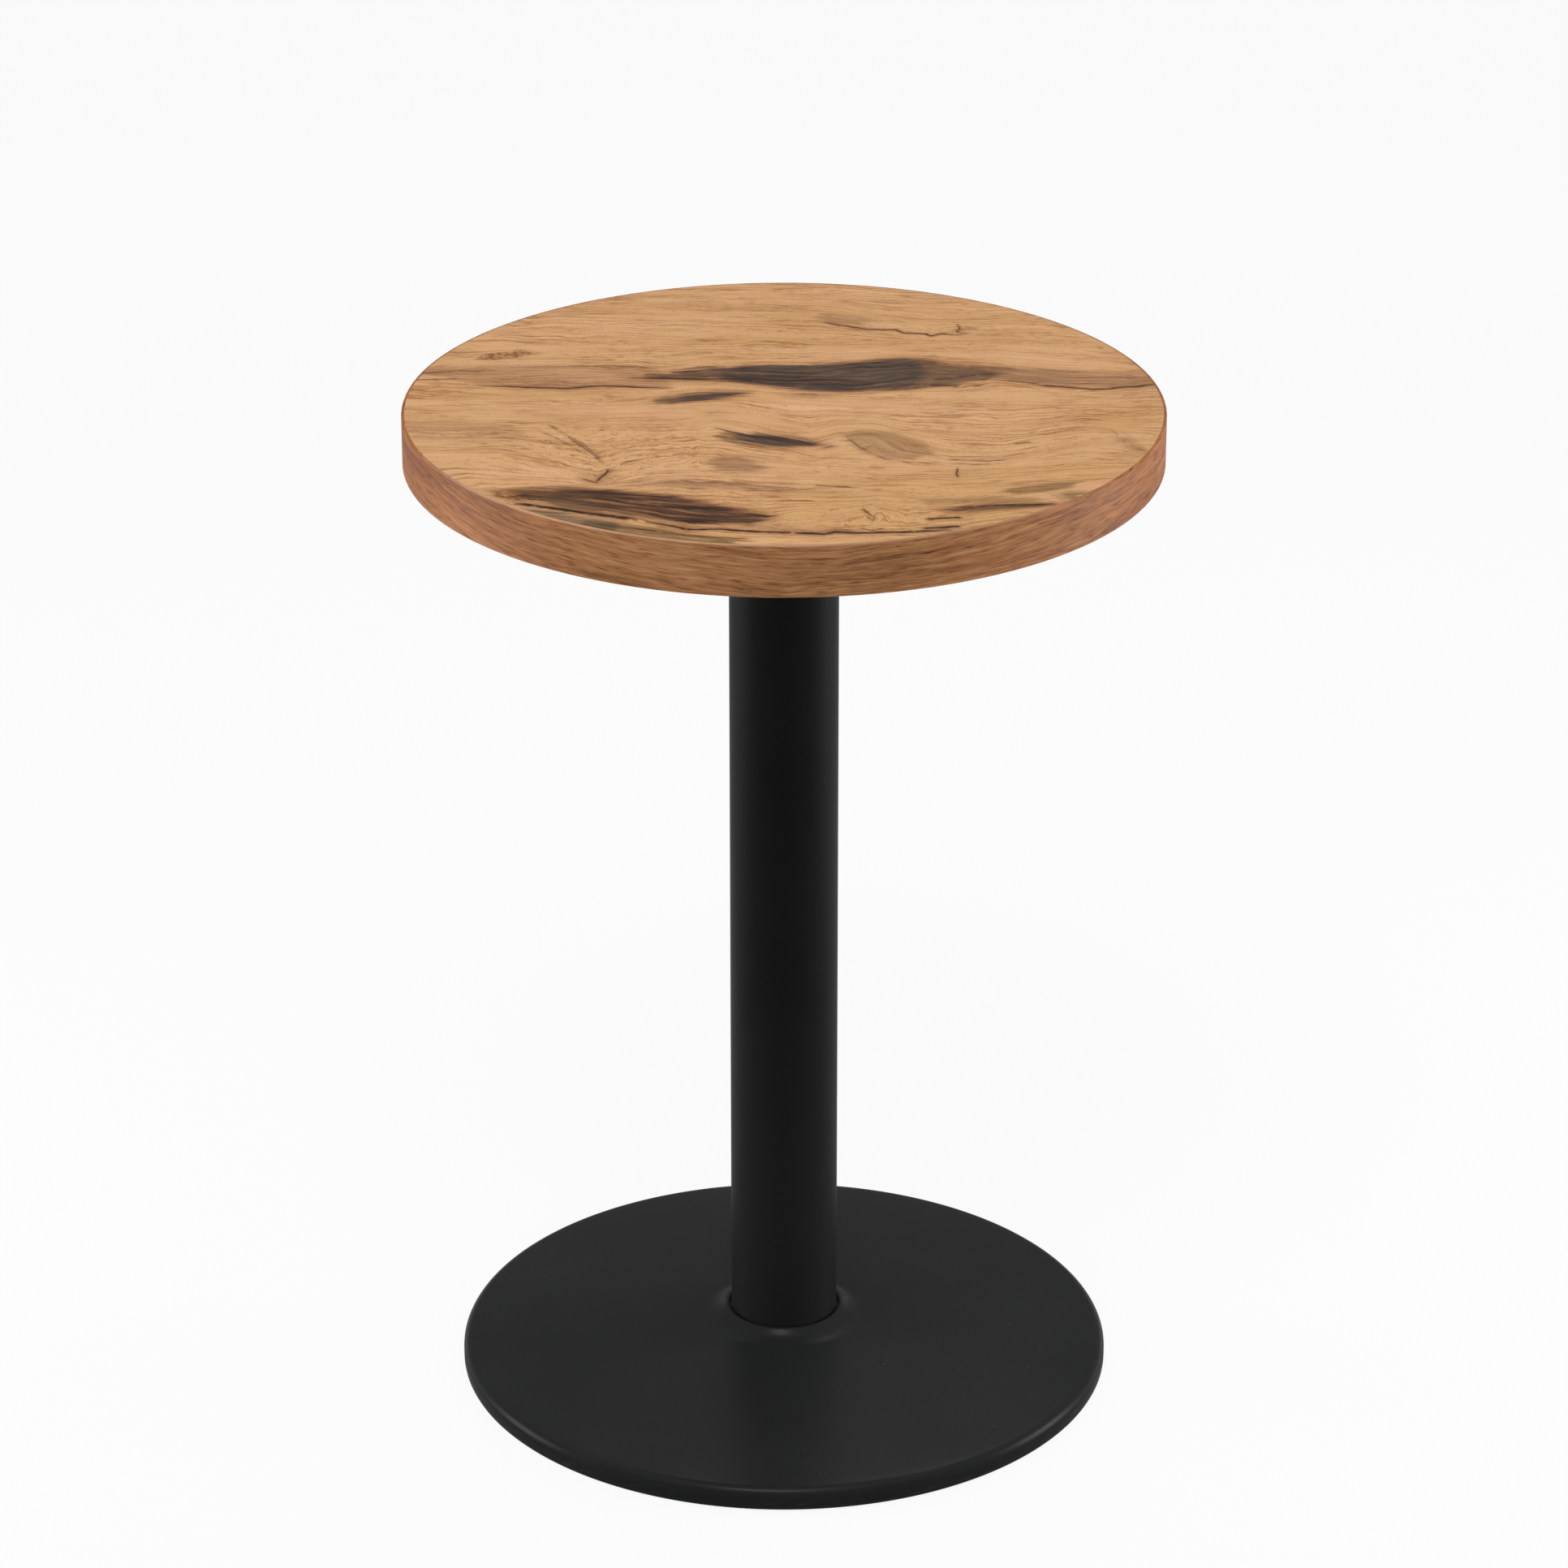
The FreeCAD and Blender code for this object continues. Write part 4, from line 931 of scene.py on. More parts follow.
PATCHES = {
    Shade.DARK: (
        Patch(1.0, (-53, 62, -50, 74, -27, 82, 2, 83, 17, 85, 52, 90, 70, 94, 84, 98, 97, 95, 103, 83, 105, 64,
            95, 45, 85, 34, 52, 29, 34, 30, 12, 33, -9, 40, -27, 46, -45, 52)),
        Patch(0.8, (-88, 63, -68, 73, -50, 79, -36, 78, -40, 60, -66, 58)),
        Patch(0.7, (-104, 57, -80, 60, -40, 58, -40, 50, -80, 53)),
        Patch(0.72, (88, 97, 106, 91, 124, 80, 140, 72, 152, 66, 138, 56, 122, 48, 108, 43, 88, 36)),
        Patch(1.0, (-82, 15, -66, 24, -48, 29, -24, 29, -34, 20, -55, 12, -76, 8)),
        Patch(1.0, (-31, -59, -18, -52, 2, -59, 16, -68, 30, -77, 5, -79, -15, -76, -28, -69)),
    ),
    Shade.BROWN: (
        Patch(0.62, (-264, 64, -245, 80, -206, 84, -150, 84, -93, 79, -76, 64, -78, 36, -97, 36, -148, 34, -204, 40,
            -235, 58)),
        Patch(0.95, (102, 89, 144, 80, 187, 74, 221, 70, 264, 69, 264, 40, 230, 34, 197, 36, 145, 60, 120, 80)),
        Patch(0.4, (-53, -108, -44, -97, -30, -95, -18, -109, -10, -118, -18, -126, -33, -128, -46, -123)),
        Patch(0.55, (18, 186, 34, 193, 54, 186, 68, 176, 54, 167, 31, 172)),
        Patch(0.35, (38, -54, 51, -45, 73, -50, 92, -69, 99, -92, 83, -106, 64, -101, 48, -84)),
        Patch(0.7, (-125, -153, -101, -139, -68, -136, -34, -142, 2, -151, 45, -161, -3, -166, -46, -158, -78, -153,
            -101, -154)),
        Patch(0.55, (220, -55, 232, -58, 241, -77, 239, -89, 230, -80, 222, -68)),
        Patch(0.55, (-196, -158, -160, -150, -125, -154, -126, -164, -160, -163, -190, -166)),
        Patch(0.45, (-28, -206, 10, -222, 50, -228, 48, -238, 10, -240, -30, -230)),
        Patch(0.4, (-262, -30, -225, -28, -180, -40, -170, -62, -200, -76, -250, -70)),
    ),
    Shade.OLIVE: (
        Patch(0.3, (40, -56, 52, -47, 74, -50, 94, -68, 102, -90, 84, -104, 64, -100, 48, -84)),
        Patch(0.85, (141, -161, 161, -151, 178, -146, 197, -143, 190, -153, 172, -161, 152, -166)),
        Patch(0.8, (174, -168, 187, -161, 199, -162, 191, -175, 182, -180)),
        Patch(0.95, (-47, -58, -39, -49, -27, -52, -24, -69, -37, -71)),
        Patch(0.9, (-90, 14, -80, 20, -70, 14, -74, 5, -87, 5)),
        Patch(0.8, (-165, -172, -155, -171, -138, -181, -112, -194, -124, -200, -151, -187)),
        Patch(0.95, (-128, -214, -100, -221, -66, -236, -38, -245, -16, -250, -45, -258, -84, -251, -114, -237,
            -132, -226)),
        Patch(0.4, (57, 74, 75, 83, 96, 80, 103, 66, 89, 50, 68, 47, 50, 55)),
        Patch(0.5, (90, -176, 140, -172, 175, -176, 160, -182, 120, -184, 95, -186)),
    ),
    Shade.GREY: (
        Patch(0.95, (-178, -191, -151, -197, -127, -209, -104, -219, -112, -240, -140, -224, -164, -206)),
    ),
    Shade.GOLD: (
        Patch(0.6, (180, -12, 215, 2, 241, 5, 262, 0, 262, -28, 231, -38, 195, -32)),
        Patch(0.4, (10, -150, 60, -135, 150, -120, 200, -95, 258, -95, 200, -180, 120, -236, 20, -245, -20, -200)),
        Patch(0.3, (-60, 130, 80, 120, 190, 118, 150, 190, 60, 215, -30, 190)),
        Patch(0.6, (-262, 30, -200, 30, -120, 28, -110, 14, -190, 12, -262, 14)),
        Patch(0.9, (-160, -196, -108, -213, -61, -236, -84, -230, -134, -205)),
    ),
    Shade.PALE: (
        Patch(0.6, (167, -172, 180, -165, 187, -175, 179, -187, 169, -184)),
        Patch(0.6, (186, -161, 193, -145, 216, -140, 209, -155, 197, -163)),
        Patch(0.5, (-10, 14, 60, 14, 110, 8, 122, -10, 60, -18, -10, -12)),
        Patch(0.35, (-10, 118, 60, 117, 104, 112, 96, 100, 40, 98, -10, 104)),
        Patch(0.45, (100, 112, 149, 117, 183, 102, 222, 80, 216, 74, 171, 79, 140, 92, 110, 102)),
        Patch(0.35, (-190, 6, -120, 2, -60, -6, -60, -22, -130, -14, -190, -8)),
        Patch(0.4, (-208, -120, -160, -112, -136, -140, -160, -148, -200, -144)),
        Patch(0.35, (-96, -140, -60, -128, -10, -128, 30, -140, 10, -146, -50, -138)),
    ),
    Shade.UMBER: (
        Patch(0.97, (-178, -161, -165, -158, -142, -156, -117, -159, -96, -165, -72, -170, -51, -182, -26, -195,
            -6, -207, -22, -221, -45, -221, -67, -218, -92, -208, -117, -197, -138, -188, -156, -180, -172, -172)),
        Patch(0.75, (106, -195, 128, -189, 145, -185, 168, -184, 176, -185, 166, -190, 150, -194, 128, -197,
            112, -199)),
        Patch(0.25, (-50, -108, -42, -99, -30, -97, -20, -108, -14, -117, -20, -124, -33, -126, -44, -121)),
    ),
    Shade.AMBER: (
        Patch(0.9, (-214, 96, -207, 107, -196, 110, -184, 114, -170, 108, -184, 101, -194, 96, -203, 92)),
        Patch(0.9, (-192, -160, -178, -158, -160, -160, -150, -168, -160, -178, -178, -180, -190, -172)),
        Patch(0.6, (-72, -214, -60, -209, -48, -213, -52, -224, -66, -224)),
        Patch(0.3, (-138, -130, -120, -126, -104, -134, -112, -150, -132, -150)),
    ),
    Shade.CURL: (
        Patch(1.0, (-165, -40, -120, -30, -60, -36, -46, -90, -70, -130, -110, -146, -150, -120, -168, -80)),
        Patch(0.9, (28, -188, 90, -186, 100, -220, 80, -242, 30, -240)),
        Patch(0.7, (112, 96, 150, 100, 160, 112, 120, 114)),
        Patch(0.8, (90, 140, 130, 140, 150, 160, 120, 170, 90, 160)),
        Patch(0.8, (-200, -158, -160, -156, -150, -174, -190, -180)),
    ),
}
SPLITS = (
    Split(1.0, 1.0, (-215, 42, -204, 41, -190, 40, -177, 38, -149, 36, -136, 39, -123, 41, -97, 38, -74, 36)),
    Split(0.7, 0.7, (-262, 64, -240, 69, -222, 72, -206, 70)),
    Split(0.7, 0.7, (-262, 53, -240, 54, -222, 56)),
    Split(1.5, 0.85, (-108, 56, -88, 58, -66, 55, -41, 55, -18, 54, 2, 51, 36, 54, 57, 50)),
    Split(2.0, 0.5, (-104, 63, -95, 64, -76, 68, -55, 72)),
    Split(1.8, 0.6, (82, 33, 95, 40, 109, 43, 123, 39, 141, 44)),
    Split(1.8, 0.55, (100, 53, 117, 57, 131, 63, 150, 66)),
    Split(1.6, 0.4, (94, 92, 114, 86, 131, 81, 149, 78, 170, 75)),
    Split(1.4, 0.45, (-150, 83, -128, 82, -108, 80, -92, 77)),
    Split(2.2, 0.35, (2, 26, 20, 24, 34, 22)),
    Split(1.0, 1.0, (168, 46, 178, 42, 196, 38, 210, 34, 222, 35, 231, 38, 241, 39, 258, 46)),
    Split(0.8, 0.7, (128, 51, 140, 55, 153, 52, 165, 49, 178, 44)),
    Split(2.3, 1.0, (-182, -183, -164, -187, -144, -195, -124, -203, -104, -210, -88, -217)),
    Split(1.5, 1.0, (-100, -214, -88, -217, -71, -225, -61, -231, -42, -230, -22, -234, 2, -236, 26, -239, 33, -235,
        45, -237, 59, -236, 81, -235, 118, -230)),
    Split(0.8, 0.7, (-130, -219, -107, -226, -84, -233, -65, -241, -42, -245, -14, -248)),
    Split(0.9, 0.95, (24, 176, 36, 168, 50, 162, 59, 158, 79, 157, 84, 150, 100, 148, 103, 144, 111, 149, 121, 146,
        128, 148)),
    Split(0.8, 0.6, (122, 170, 124, 160, 121, 152, 130, 148)),
    Split(0.8, 0.55, (-162, -30, -149, -51, -140, -68, -131, -85, -124, -99, -119, -113)),
    Split(0.7, 0.5, (-146, -54, -134, -74, -127, -89, -120, -104)),
    Split(0.7, 0.4, (-168, -44, -152, -62, -141, -80, -130, -97)),
    Split(0.9, 0.85, (-112, -110, -116, -121, -118, -130, -121, -137, -124, -146)),
    Split(0.8, 0.7, (-133, -138, -126, -144, -122, -147)),
    Split(0.7, 0.6, (-94, -103, -104, -107, -110, -114)),
    Split(1.1, 0.7, (-49, -40, -38, -48, -27, -56, -14, -60, 5, -66, 20, -75)),
    Split(1.5, 1.0, (91, -212, 99, -211, 107, -210, 117, -209)),
    Split(1.6, 1.0, (88, -229, 96, -228, 104, -227, 116, -225)),
    Split(0.7, 0.8, (153, -73, 159, -71, 166, -69)),
    Split(0.6, 0.8, (115, -117, 114, -128, 115, -138)),
    Split(0.7, 0.5, (40, -55, 51, -80, 67, -101, 83, -108, 112, -109)),
    Split(0.8, 0.6, (108, -103, 122, -103, 134, -106, 148, -103)),
    Split(0.8, 0.5, (112, -109, 128, -112, 146, -108)),
    Split(0.6, 0.3, (220, -44, 228, -66, 235, -80, 243, -88)),
    Split(1.0, 0.9, (106, -193, 122, -190, 137, -187, 154, -187, 181, -184)),
    Split(0.7, 0.8, (50, -191, 54, -200, 60, -212, 67, -215)),
    Split(0.7, 0.7, (47, -227, 57, -233, 66, -227)),
    Split(0.8, 0.8, (-66, -214, -60, -220, -54, -216)),
    Split(0.8, 0.7, (-190, -168, -181, -173, -172, -170, -166, -166)),
    Split(0.8, 0.6, (18, -150, 34, -153, 50, -154)),
    Split(0.8, 0.6, (-34, -55, -20, -58, 4, -62)),
)
GUIDES = (
    (-270, 195, -100, 186, 20, 178, 59, 164, 80, 158, 103, 151, 128, 152, 160, 156, 270, 140),
    (-270, 112, -200, 106, -100, 108, 0, 108, 100, 110, 150, 108, 200, 96, 270, 84),
    (-270, 80, -206, 84, -150, 85, -75, 74, -36, 84, 2, 86, 49, 90, 92, 94, 120, 86, 187, 74, 270, 69),
    (-270, 50, -204, 38, -97, 36, -60, 42, -3, 33, 49, 28, 80, 34, 118, 40, 145, 46, 196, 37, 230, 37, 270, 44),
    (-270, 6, -120, 2, -92, 9, -60, 14, -31, 18, 20, 8, 60, 2, 140, 6, 270, 8),
    (-270, -46, -150, -48, -80, -46, -45, -42, -9, -62, 18, -76, 36, -62, 60, -58, 80, -82, 112, -98, 147, -98,
        200, -70, 240, -74, 270, -78),
    (-270, -96, -190, -98, -150, -118, -124, -136, -104, -122, -68, -112, -30, -112, 40, -124, 115, -128, 160, -122,
        270, -112),
    (-270, -148, -187, -156, -140, -150, -121, -151, -101, -146, -68, -140, -34, -143, 45, -158, 120, -160,
        200, -145, 270, -138),
    (-270, -164, -187, -168, -114, -182, -50, -203, -10, -206, 40, -196, 59, -190, 80, -200, 115, -198, 179, -184,
        270, -165),
    (-270, -176, -175, -186, -131, -198, -78, -220, -26, -234, 26, -238, 59, -236, 115, -230, 200, -205, 270, -190),
    (-270, -215, -140, -228, -60, -262, 0, -272, 100, -270, 270, -240),
)
EYES = (
    Eye(-124, -138, 22, 12, 6.0), Eye(-177, -171, 14, 6, 3.0), Eye(-60, -217, 12, 6, 3.0), Eye(59, -210, 26, 15, 8.0),
    Eye(125, 156, 16, 9, 4.0), Eye(66, -78, 34, 20, 8.0), Eye(236, -78, 18, 14, 5.0), Eye(128, 104, 26, 9, 3.0),
    Eye(-194, 103, 22, 6, 2.0),
)
CRACKS = layered(SPLITS)


@dataclass(frozen=True)
class OakPrint:
    """Where the print's grain runs and where its marks lie, written on the mesh of the sheet."""

    back: float = 290.0
    front: float = -300.0

    def grain(self, points: np.ndarray) -> np.ndarray:
        """The place of each point along and across the grain, which bends with the marks and round the knots."""
        along, across = points[:, 0].copy(), points[:, 1].copy()
        guides = [np.array(guide, float).reshape(-1, 2) for guide in GUIDES]
        heights = [np.interp(along, *guide.T) for guide in guides]
        heights = [np.full(len(along), self.back), *heights, np.full(len(along), self.front)]
        levels = [self.back, *(float(np.mean(guide[:, 1])) for guide in guides), self.front]
        level = across.copy()
        for high, low, top, bottom in zip(heights, heights[1:], levels, levels[1:]):
            share = (high - across) / np.maximum(high - low, 1.0)
            here = (share >= 0) & (share <= 1)
            level[here] = (top + (bottom - top) * share)[here]
        for eye in EYES:
            near = np.exp(-(((along - eye.x) / eye.long) ** 2) - ((across - eye.y) / eye.wide) ** 2)
            level -= eye.push * (across - eye.y) / eye.wide * near
        return np.column_stack([along, level, np.zeros(len(along))])

    def write(self, mesh: bpy.types.Mesh) -> None:
        """Writes the grain, every kind of mark and the cracks on the points of the sheet's mesh."""
        points = np.zeros(len(mesh.vertices) * 3)
        mesh.vertices.foreach_get("co", points)
        points = points.reshape(-1, 3)[:, :2] / MM
        flow = mesh.attributes.new("flow", "FLOAT_VECTOR", "POINT")
        flow.data.foreach_set("vector", self.grain(points).ravel())
        for shade, patches in PATCHES.items():
            depths = np.array([patch.depth(points) for patch in patches])
            pull = np.exp(np.clip(depths, -60, 20) / 4)
            strength = (pull * np.array([[patch.strength] for patch in patches])).sum(axis=0) / pull.sum(axis=0)
            self.put(mesh, shade.value, np.maximum(depths.max(axis=0), -40))
            self.put(mesh, shade.value + "_depth", strength)
        rows = np.arange(len(points))
        for number, layer in enumerate(CRACKS):
            sides, strengths = np.array([split.reach(points) for split in layer]).transpose(1, 0, 2)
            nearest = np.argmin([np.abs(side) * split.width for side, split in zip(sides, layer)], axis=0)
            self.put(mesh, f"crack_{number}", np.clip(sides[nearest, rows], -20, 20))
            self.put(mesh, f"crack_{number}_depth", strengths[nearest, rows])

    def put(self, mesh: bpy.types.Mesh, name: str, values: np.ndarray) -> None:
        """Stores one number for each point of the mesh."""
        mesh.attributes.new(name, "FLOAT", "POINT").data.foreach_set("value", values.astype(np.float32))


# The table's sub-assemblies


@dataclass(frozen=True)
class Thread:
    """A screw thread: its radius and pitch in mm, and how many steps its mesh takes for a turn."""

    radius: float
    pitch: float
    steps: int

    @property
    def core(self) -> float:
        """The radius of the bar inside the thread, a little under its root."""
        return self.radius - 0.62 * self.pitch

    @property
    def wall(self) -> float:
        """The radius of the bar along the thread, a hair more than its core."""
        return self.core + 0.02

    def inputs(self, start: float) -> dict[str, Any]:
        """What the thread's tree takes in, for a thread that starts at a height in mm."""
        root = self.radius - 0.6 * self.pitch
        lengths = {"Major_Radius": self.radius, "Minor_Radius": root, "Pitch": self.pitch, "Start": start}
        return {name: length * MM for name, length in lengths.items()} | {"Steps": self.steps}


class Workshop:
    """The finishes and the geometry trees that the sub-assemblies share."""

    def __init__(self) -> None:
        """Makes each of them once."""
        self.finish = {finish.name: finish.make() for finish in FINISHES}
        self.turn, self.repeat, self.wind = revolve_maker(), ring_maker(), thread_maker()

    def dress(self, slot: str, *nodes: str) -> None:
        """Gives CAD nodes that keep their shape their finish."""
        for node in nodes:
            coat(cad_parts[node].data, self.finish[slot])
            LOG.info("dressed %s with %s", node, slot)

    def hand_over(self, piece: bpy.types.Object, body: str, slot: str, *nodes: str) -> None:
        """Ties a new piece to its body and the CAD nodes that it stands for."""
        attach(piece, body)
        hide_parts(*nodes)
        LOG.info("made %s, %d faces, for %s", piece.name, len(piece.data.polygons), ", ".join(nodes))


@dataclass
class TableTop:
    """The round top: decor sheet, board, backing sheet, edge strip and threaded inserts."""

    radius: float = 258.0
    sheet: float = 0.8
    top: float = 730.0
    cells: int = 280

    def decor_mesh(self) -> bpy.types.Mesh:
        """The decor sheet as a fine square net drawn out to a disc, with its edge and underside."""
        corners, octant = self.cells + 1, math.pi / 4
        side = np.linspace(-1, 1, corners)
        a, b = np.meshgrid(side, side, indexing="ij")
        wide = np.abs(a) > np.abs(b)
        far = self.radius * np.where(wide, a, b)
        beside, ahead = octant * b / np.where(a == 0, 1, a), math.pi / 2 - octant * a / np.where(b == 0, 1, b)
        turn = np.where(wide, beside, ahead)
        upper = np.column_stack([(far * np.cos(turn)).ravel(), (far * np.sin(turn)).ravel(), np.full(a.size, self.top)])
        index = np.arange(corners**2).reshape(corners, corners)
        net = np.stack([index[:-1, :-1], index[1:, :-1], index[1:, 1:], index[:-1, 1:]], axis=-1).reshape(-1, 4)
        rim = np.concatenate([index[:-1, 0], index[-1, :-1], index[:0:-1, -1], index[0, :0:-1]])
        under = len(upper) + np.arange(len(rim))
        skirt = np.column_stack([rim, under, np.roll(under, -1), np.roll(rim, -1)])
        points = np.concatenate([upper, upper[rim] - np.array([0, 0, self.sheet])])
        return plain_mesh(points, [*net.tolist(), *skirt.tolist(), under[::-1].tolist()])

    def build(self, shop: Workshop) -> None:
        """Makes the decor sheet and dresses the rest of the top."""
        mesh = self.decor_mesh()
        coat(mesh, shop.finish["oak_decor"])
        sheet = settled(place_mesh("decor_sheet", mesh))
        OakPrint().write(sheet.data)
        shop.hand_over(sheet, "table", "oak_decor", "top_laminate")
        shop.dress("oak_edge", "edge_band")
        shop.dress("particle_board", "top_core")
        shop.dress("backing_sheet", "underside_laminate")
        shop.dress("insert_brass", "threaded_inserts")


@dataclass
class TopFixing:
    """The cast spider under the top, with its four screws and washers."""

    count: int = 4
    circle: float = 134.0
    first_angle: float = 45.0
    head_top: float = 684.4
    head: float = 3.6
    head_radius: float = 5.6
    rounding: float = 1.4
    head_edge: float = 0.2
    socket: float = 4.0
    socket_depth: float = 2.2
    socket_cone: float = 0.5
    socket_edge: float = 0.25
    shank: float = 3.0
    tip: float = 705.0
    tip_chamfer: float = 0.6

    def screw_mesh(self) -> bpy.types.Mesh:
        """One round-headed screw with a hexagon socket, on the axis."""
        low, edge, chamfer = self.head_top - self.head, self.head_edge, self.tip_chamfer
        floor = low + self.socket_depth
        corner = (self.head_radius - self.rounding, low + self.rounding)
        return rings_mesh([
            ring_points(floor + self.socket_cone, 0.05),
            ring_points(floor, flats=self.socket),
            ring_points(low + self.socket_edge, flats=self.socket),
            ring_points(low, flats=self.socket + 2 * self.socket_edge),
            *(ring_points(z, r) for r, z in bend(corner, self.rounding, -math.pi / 2, 0, 5)),
            ring_points(self.head_top - edge, self.head_radius),
            ring_points(self.head_top, self.head_radius - edge),
            ring_points(self.head_top, self.shank),
            ring_points(self.tip - chamfer, self.shank),
            ring_points(self.tip, self.shank - chamfer),
        ])

    def build(self, shop: Workshop) -> None:
        """Makes the spider's soft-edged casting and the screws, and dresses the washers."""
        turn = math.radians(self.first_angle)
        angles = [turn + k * math.tau / self.count for k in range(self.count)]
        bores = [Bore(self.circle * math.cos(a), self.circle * math.sin(a), radius=3.4, reach=4.6) for a in angles]
        cast = SoftCast(grain=1.1, rounds=5, bores=bores)
        spider = cast.copy("cast_spider", "top_spider", shop.finish["spider_coat"])
        shop.hand_over(spider, "table", "spider_coat", "top_spider")
        sizes = {"Count": self.count, "Radius": self.circle * MM, "First_Angle": turn}
        screws = shop.repeat.run("spider_screw_set", self.screw_mesh(), shop.finish["zinc_steel"], **sizes)
        shop.hand_over(screws, "table", "zinc_steel", "spider_screws")
        shop.dress("zinc_steel", "spider_washers")


@dataclass
class ColumnStack:
    """The column tube and the rod that pulls it together with the spider and the base."""

    radius: float = 38.0
    bore: float = 36.0
    foot: float = 37.9
    head: float = 668.5
    chamfer: float = 0.6
    rod_radius: float = 6.0
    rod_foot: float = 6.5
    rod_head: float = 693.0
    rod_chamfer: float = 0.4
    shaft_step: float = 0.4
    low_thread: float = 70.0
    high_thread: float = 50.0
    pitch: float = 1.75

    def build(self, shop: Workshop) -> None:
        """Makes the tube and the threaded rod, and dresses the nuts and washers."""
        r, c, low, high = self.radius, self.chamfer, self.foot, self.head
        section = [(self.bore, low), (r - c, low), (r, low + c), (r, high - c), (r - c, high), (self.bore, high)]
        tube = shop.turn.run("column", section_mesh(section), shop.finish["column_coat"], Segments=160)
        shop.hand_over(tube, "table", "column_coat", "column_tube")
        zinc, low, high, c = shop.finish["zinc_steel"], self.rod_foot, self.rod_head, self.rod_chamfer
        thread = Thread(self.rod_radius, self.pitch, steps=36)
        core, wall, shaft = thread.core, thread.wall, self.rod_radius - self.shaft_step
        low_end, high_end = low + self.low_thread, high - self.high_thread
        section = [(0, low), (core - c, low), (wall, low + c), (wall, low_end), (shaft, low_end + 1)]
        section += [(shaft, high_end - 1), (wall, high_end), (wall, high - c), (core - c, high), (0, high)]
        bar = shop.turn.run("bar", section_mesh(section), zinc, Segments=48)
        bar = shop.wind.run("bar_low", joined(bar), zinc, Turns=38, **thread.inputs(low + 0.2))
        rod = shop.wind.run("threaded_rod", joined(bar), zinc, Turns=27, **thread.inputs(high_end + 0.5))
        shop.hand_over(rod, "table", "zinc_steel", "tension_rod")
        shop.dress("zinc_steel", "rod_top_nut", "rod_top_washer", "rod_bottom_nut", "rod_bottom_washer")
        shop.dress("spring_steel", "rod_spring_washer")


@dataclass
class BaseCover:
    """The pressed steel cover: rolled-in rim, domed disc, flared neck and a sunk seat for the column."""

    radius: float = 232.5
    floor_gap: float = 1.8
    rim_height: float = 15.2
    rim_return: float = 6.0
    curl_radius: float = 1.8
    shoulder_radius: float = 8.0
    rise: float = 16.0
    neck_rise: float = 7.4
    flare_radius: float = 22.0
    lip_radius: float = 2.0
    seat_wall: float = 0.5
    seat_radius: float = 39.0
    bore: float = 35.85
    sheet: float = 1.5

    def surface(self, depth: float) -> list[Point]:
        """One face of the sheet, from the rim's return to the bore of the seat, in the same count at any depth."""
        crown = self.floor_gap + self.rim_height + self.rise
        dome = (self.radius**2 + self.rise**2) / (2 * self.rise)
        middle = (0.0, crown - dome)
        out = self.radius - self.shoulder_radius
        shoulder = (out, middle[1] + math.sqrt((dome - self.shoulder_radius) ** 2 - out**2))
        lip = (self.seat_radius + self.lip_radius, crown + self.neck_rise - self.lip_radius)
        flare = self.meeting(middle, dome + self.flare_radius, lip, self.flare_radius + self.lip_radius)
        curl = (self.radius - self.curl_radius, self.floor_gap + self.curl_radius)
        edge, neck = bearing(middle, shoulder), bearing(middle, flare)
        floor = crown + self.neck_rise - self.lip_radius - self.seat_wall - depth
        return [
            (self.radius - self.rim_return, self.floor_gap + depth),
            *bend(curl, self.curl_radius - depth, -math.pi / 2, 0, 5),
            *bend(shoulder, self.shoulder_radius - depth, 0, edge, 9),
            *bend(middle, dome - depth, edge, neck, 26)[1:-1],
            *bend(flare, self.flare_radius + depth, bearing(flare, middle), bearing(flare, lip), 12),
            *bend(lip, self.lip_radius - depth, bearing(lip, flare), math.pi)[1:],
            (self.seat_radius + depth, floor),
            (self.bore, floor),
        ]

    def meeting(self, first: Point, near: float, second: Point, far: float) -> Point:
        """The outer point where two circles of a section meet."""
        apart, turn = math.dist(first, second), bearing(first, second)
        along = (near**2 - far**2 + apart**2) / (2 * apart)
        aside = math.sqrt(near**2 - along**2)
        foot = (first[0] + along * math.cos(turn), first[1] + along * math.sin(turn))
        return max((foot[0] + s * aside * math.sin(turn), foot[1] - s * aside * math.cos(turn)) for s in (1, -1))

    def build(self, shop: Workshop) -> None:
        """Makes the cover by turning its section."""
        section = section_mesh(self.surface(0.0) + self.surface(self.sheet)[::-1])
        cover = shop.turn.run("pressed_cover", section, shop.finish["cover_coat"], Segments=224)
        shop.hand_over(cover, "table", "cover_coat", "base_cover")


@dataclass
class Ballast:
    """The ribbed iron casting in the base and the soft dots between it and the cover."""

    glide_circle: float = 186.5

    def build(self, shop: Workshop) -> None:
        """Makes the casting's rounded skin and dresses the dots."""
        reach = self.glide_circle * math.sqrt(0.5)
        bores = [Bore(x, y, radius=4.1, reach=5.6) for x in (reach, -reach) for y in (reach, -reach)]
        cast = SoftCast(grain=2.3, rounds=3, bores=bores)
        casting = cast.copy("ballast", "ballast_casting", shop.finish["iron_casting"])
        shop.hand_over(casting, "table", "iron_casting", "ballast_casting")
        shop.dress("soft_pad", "damping_pads")


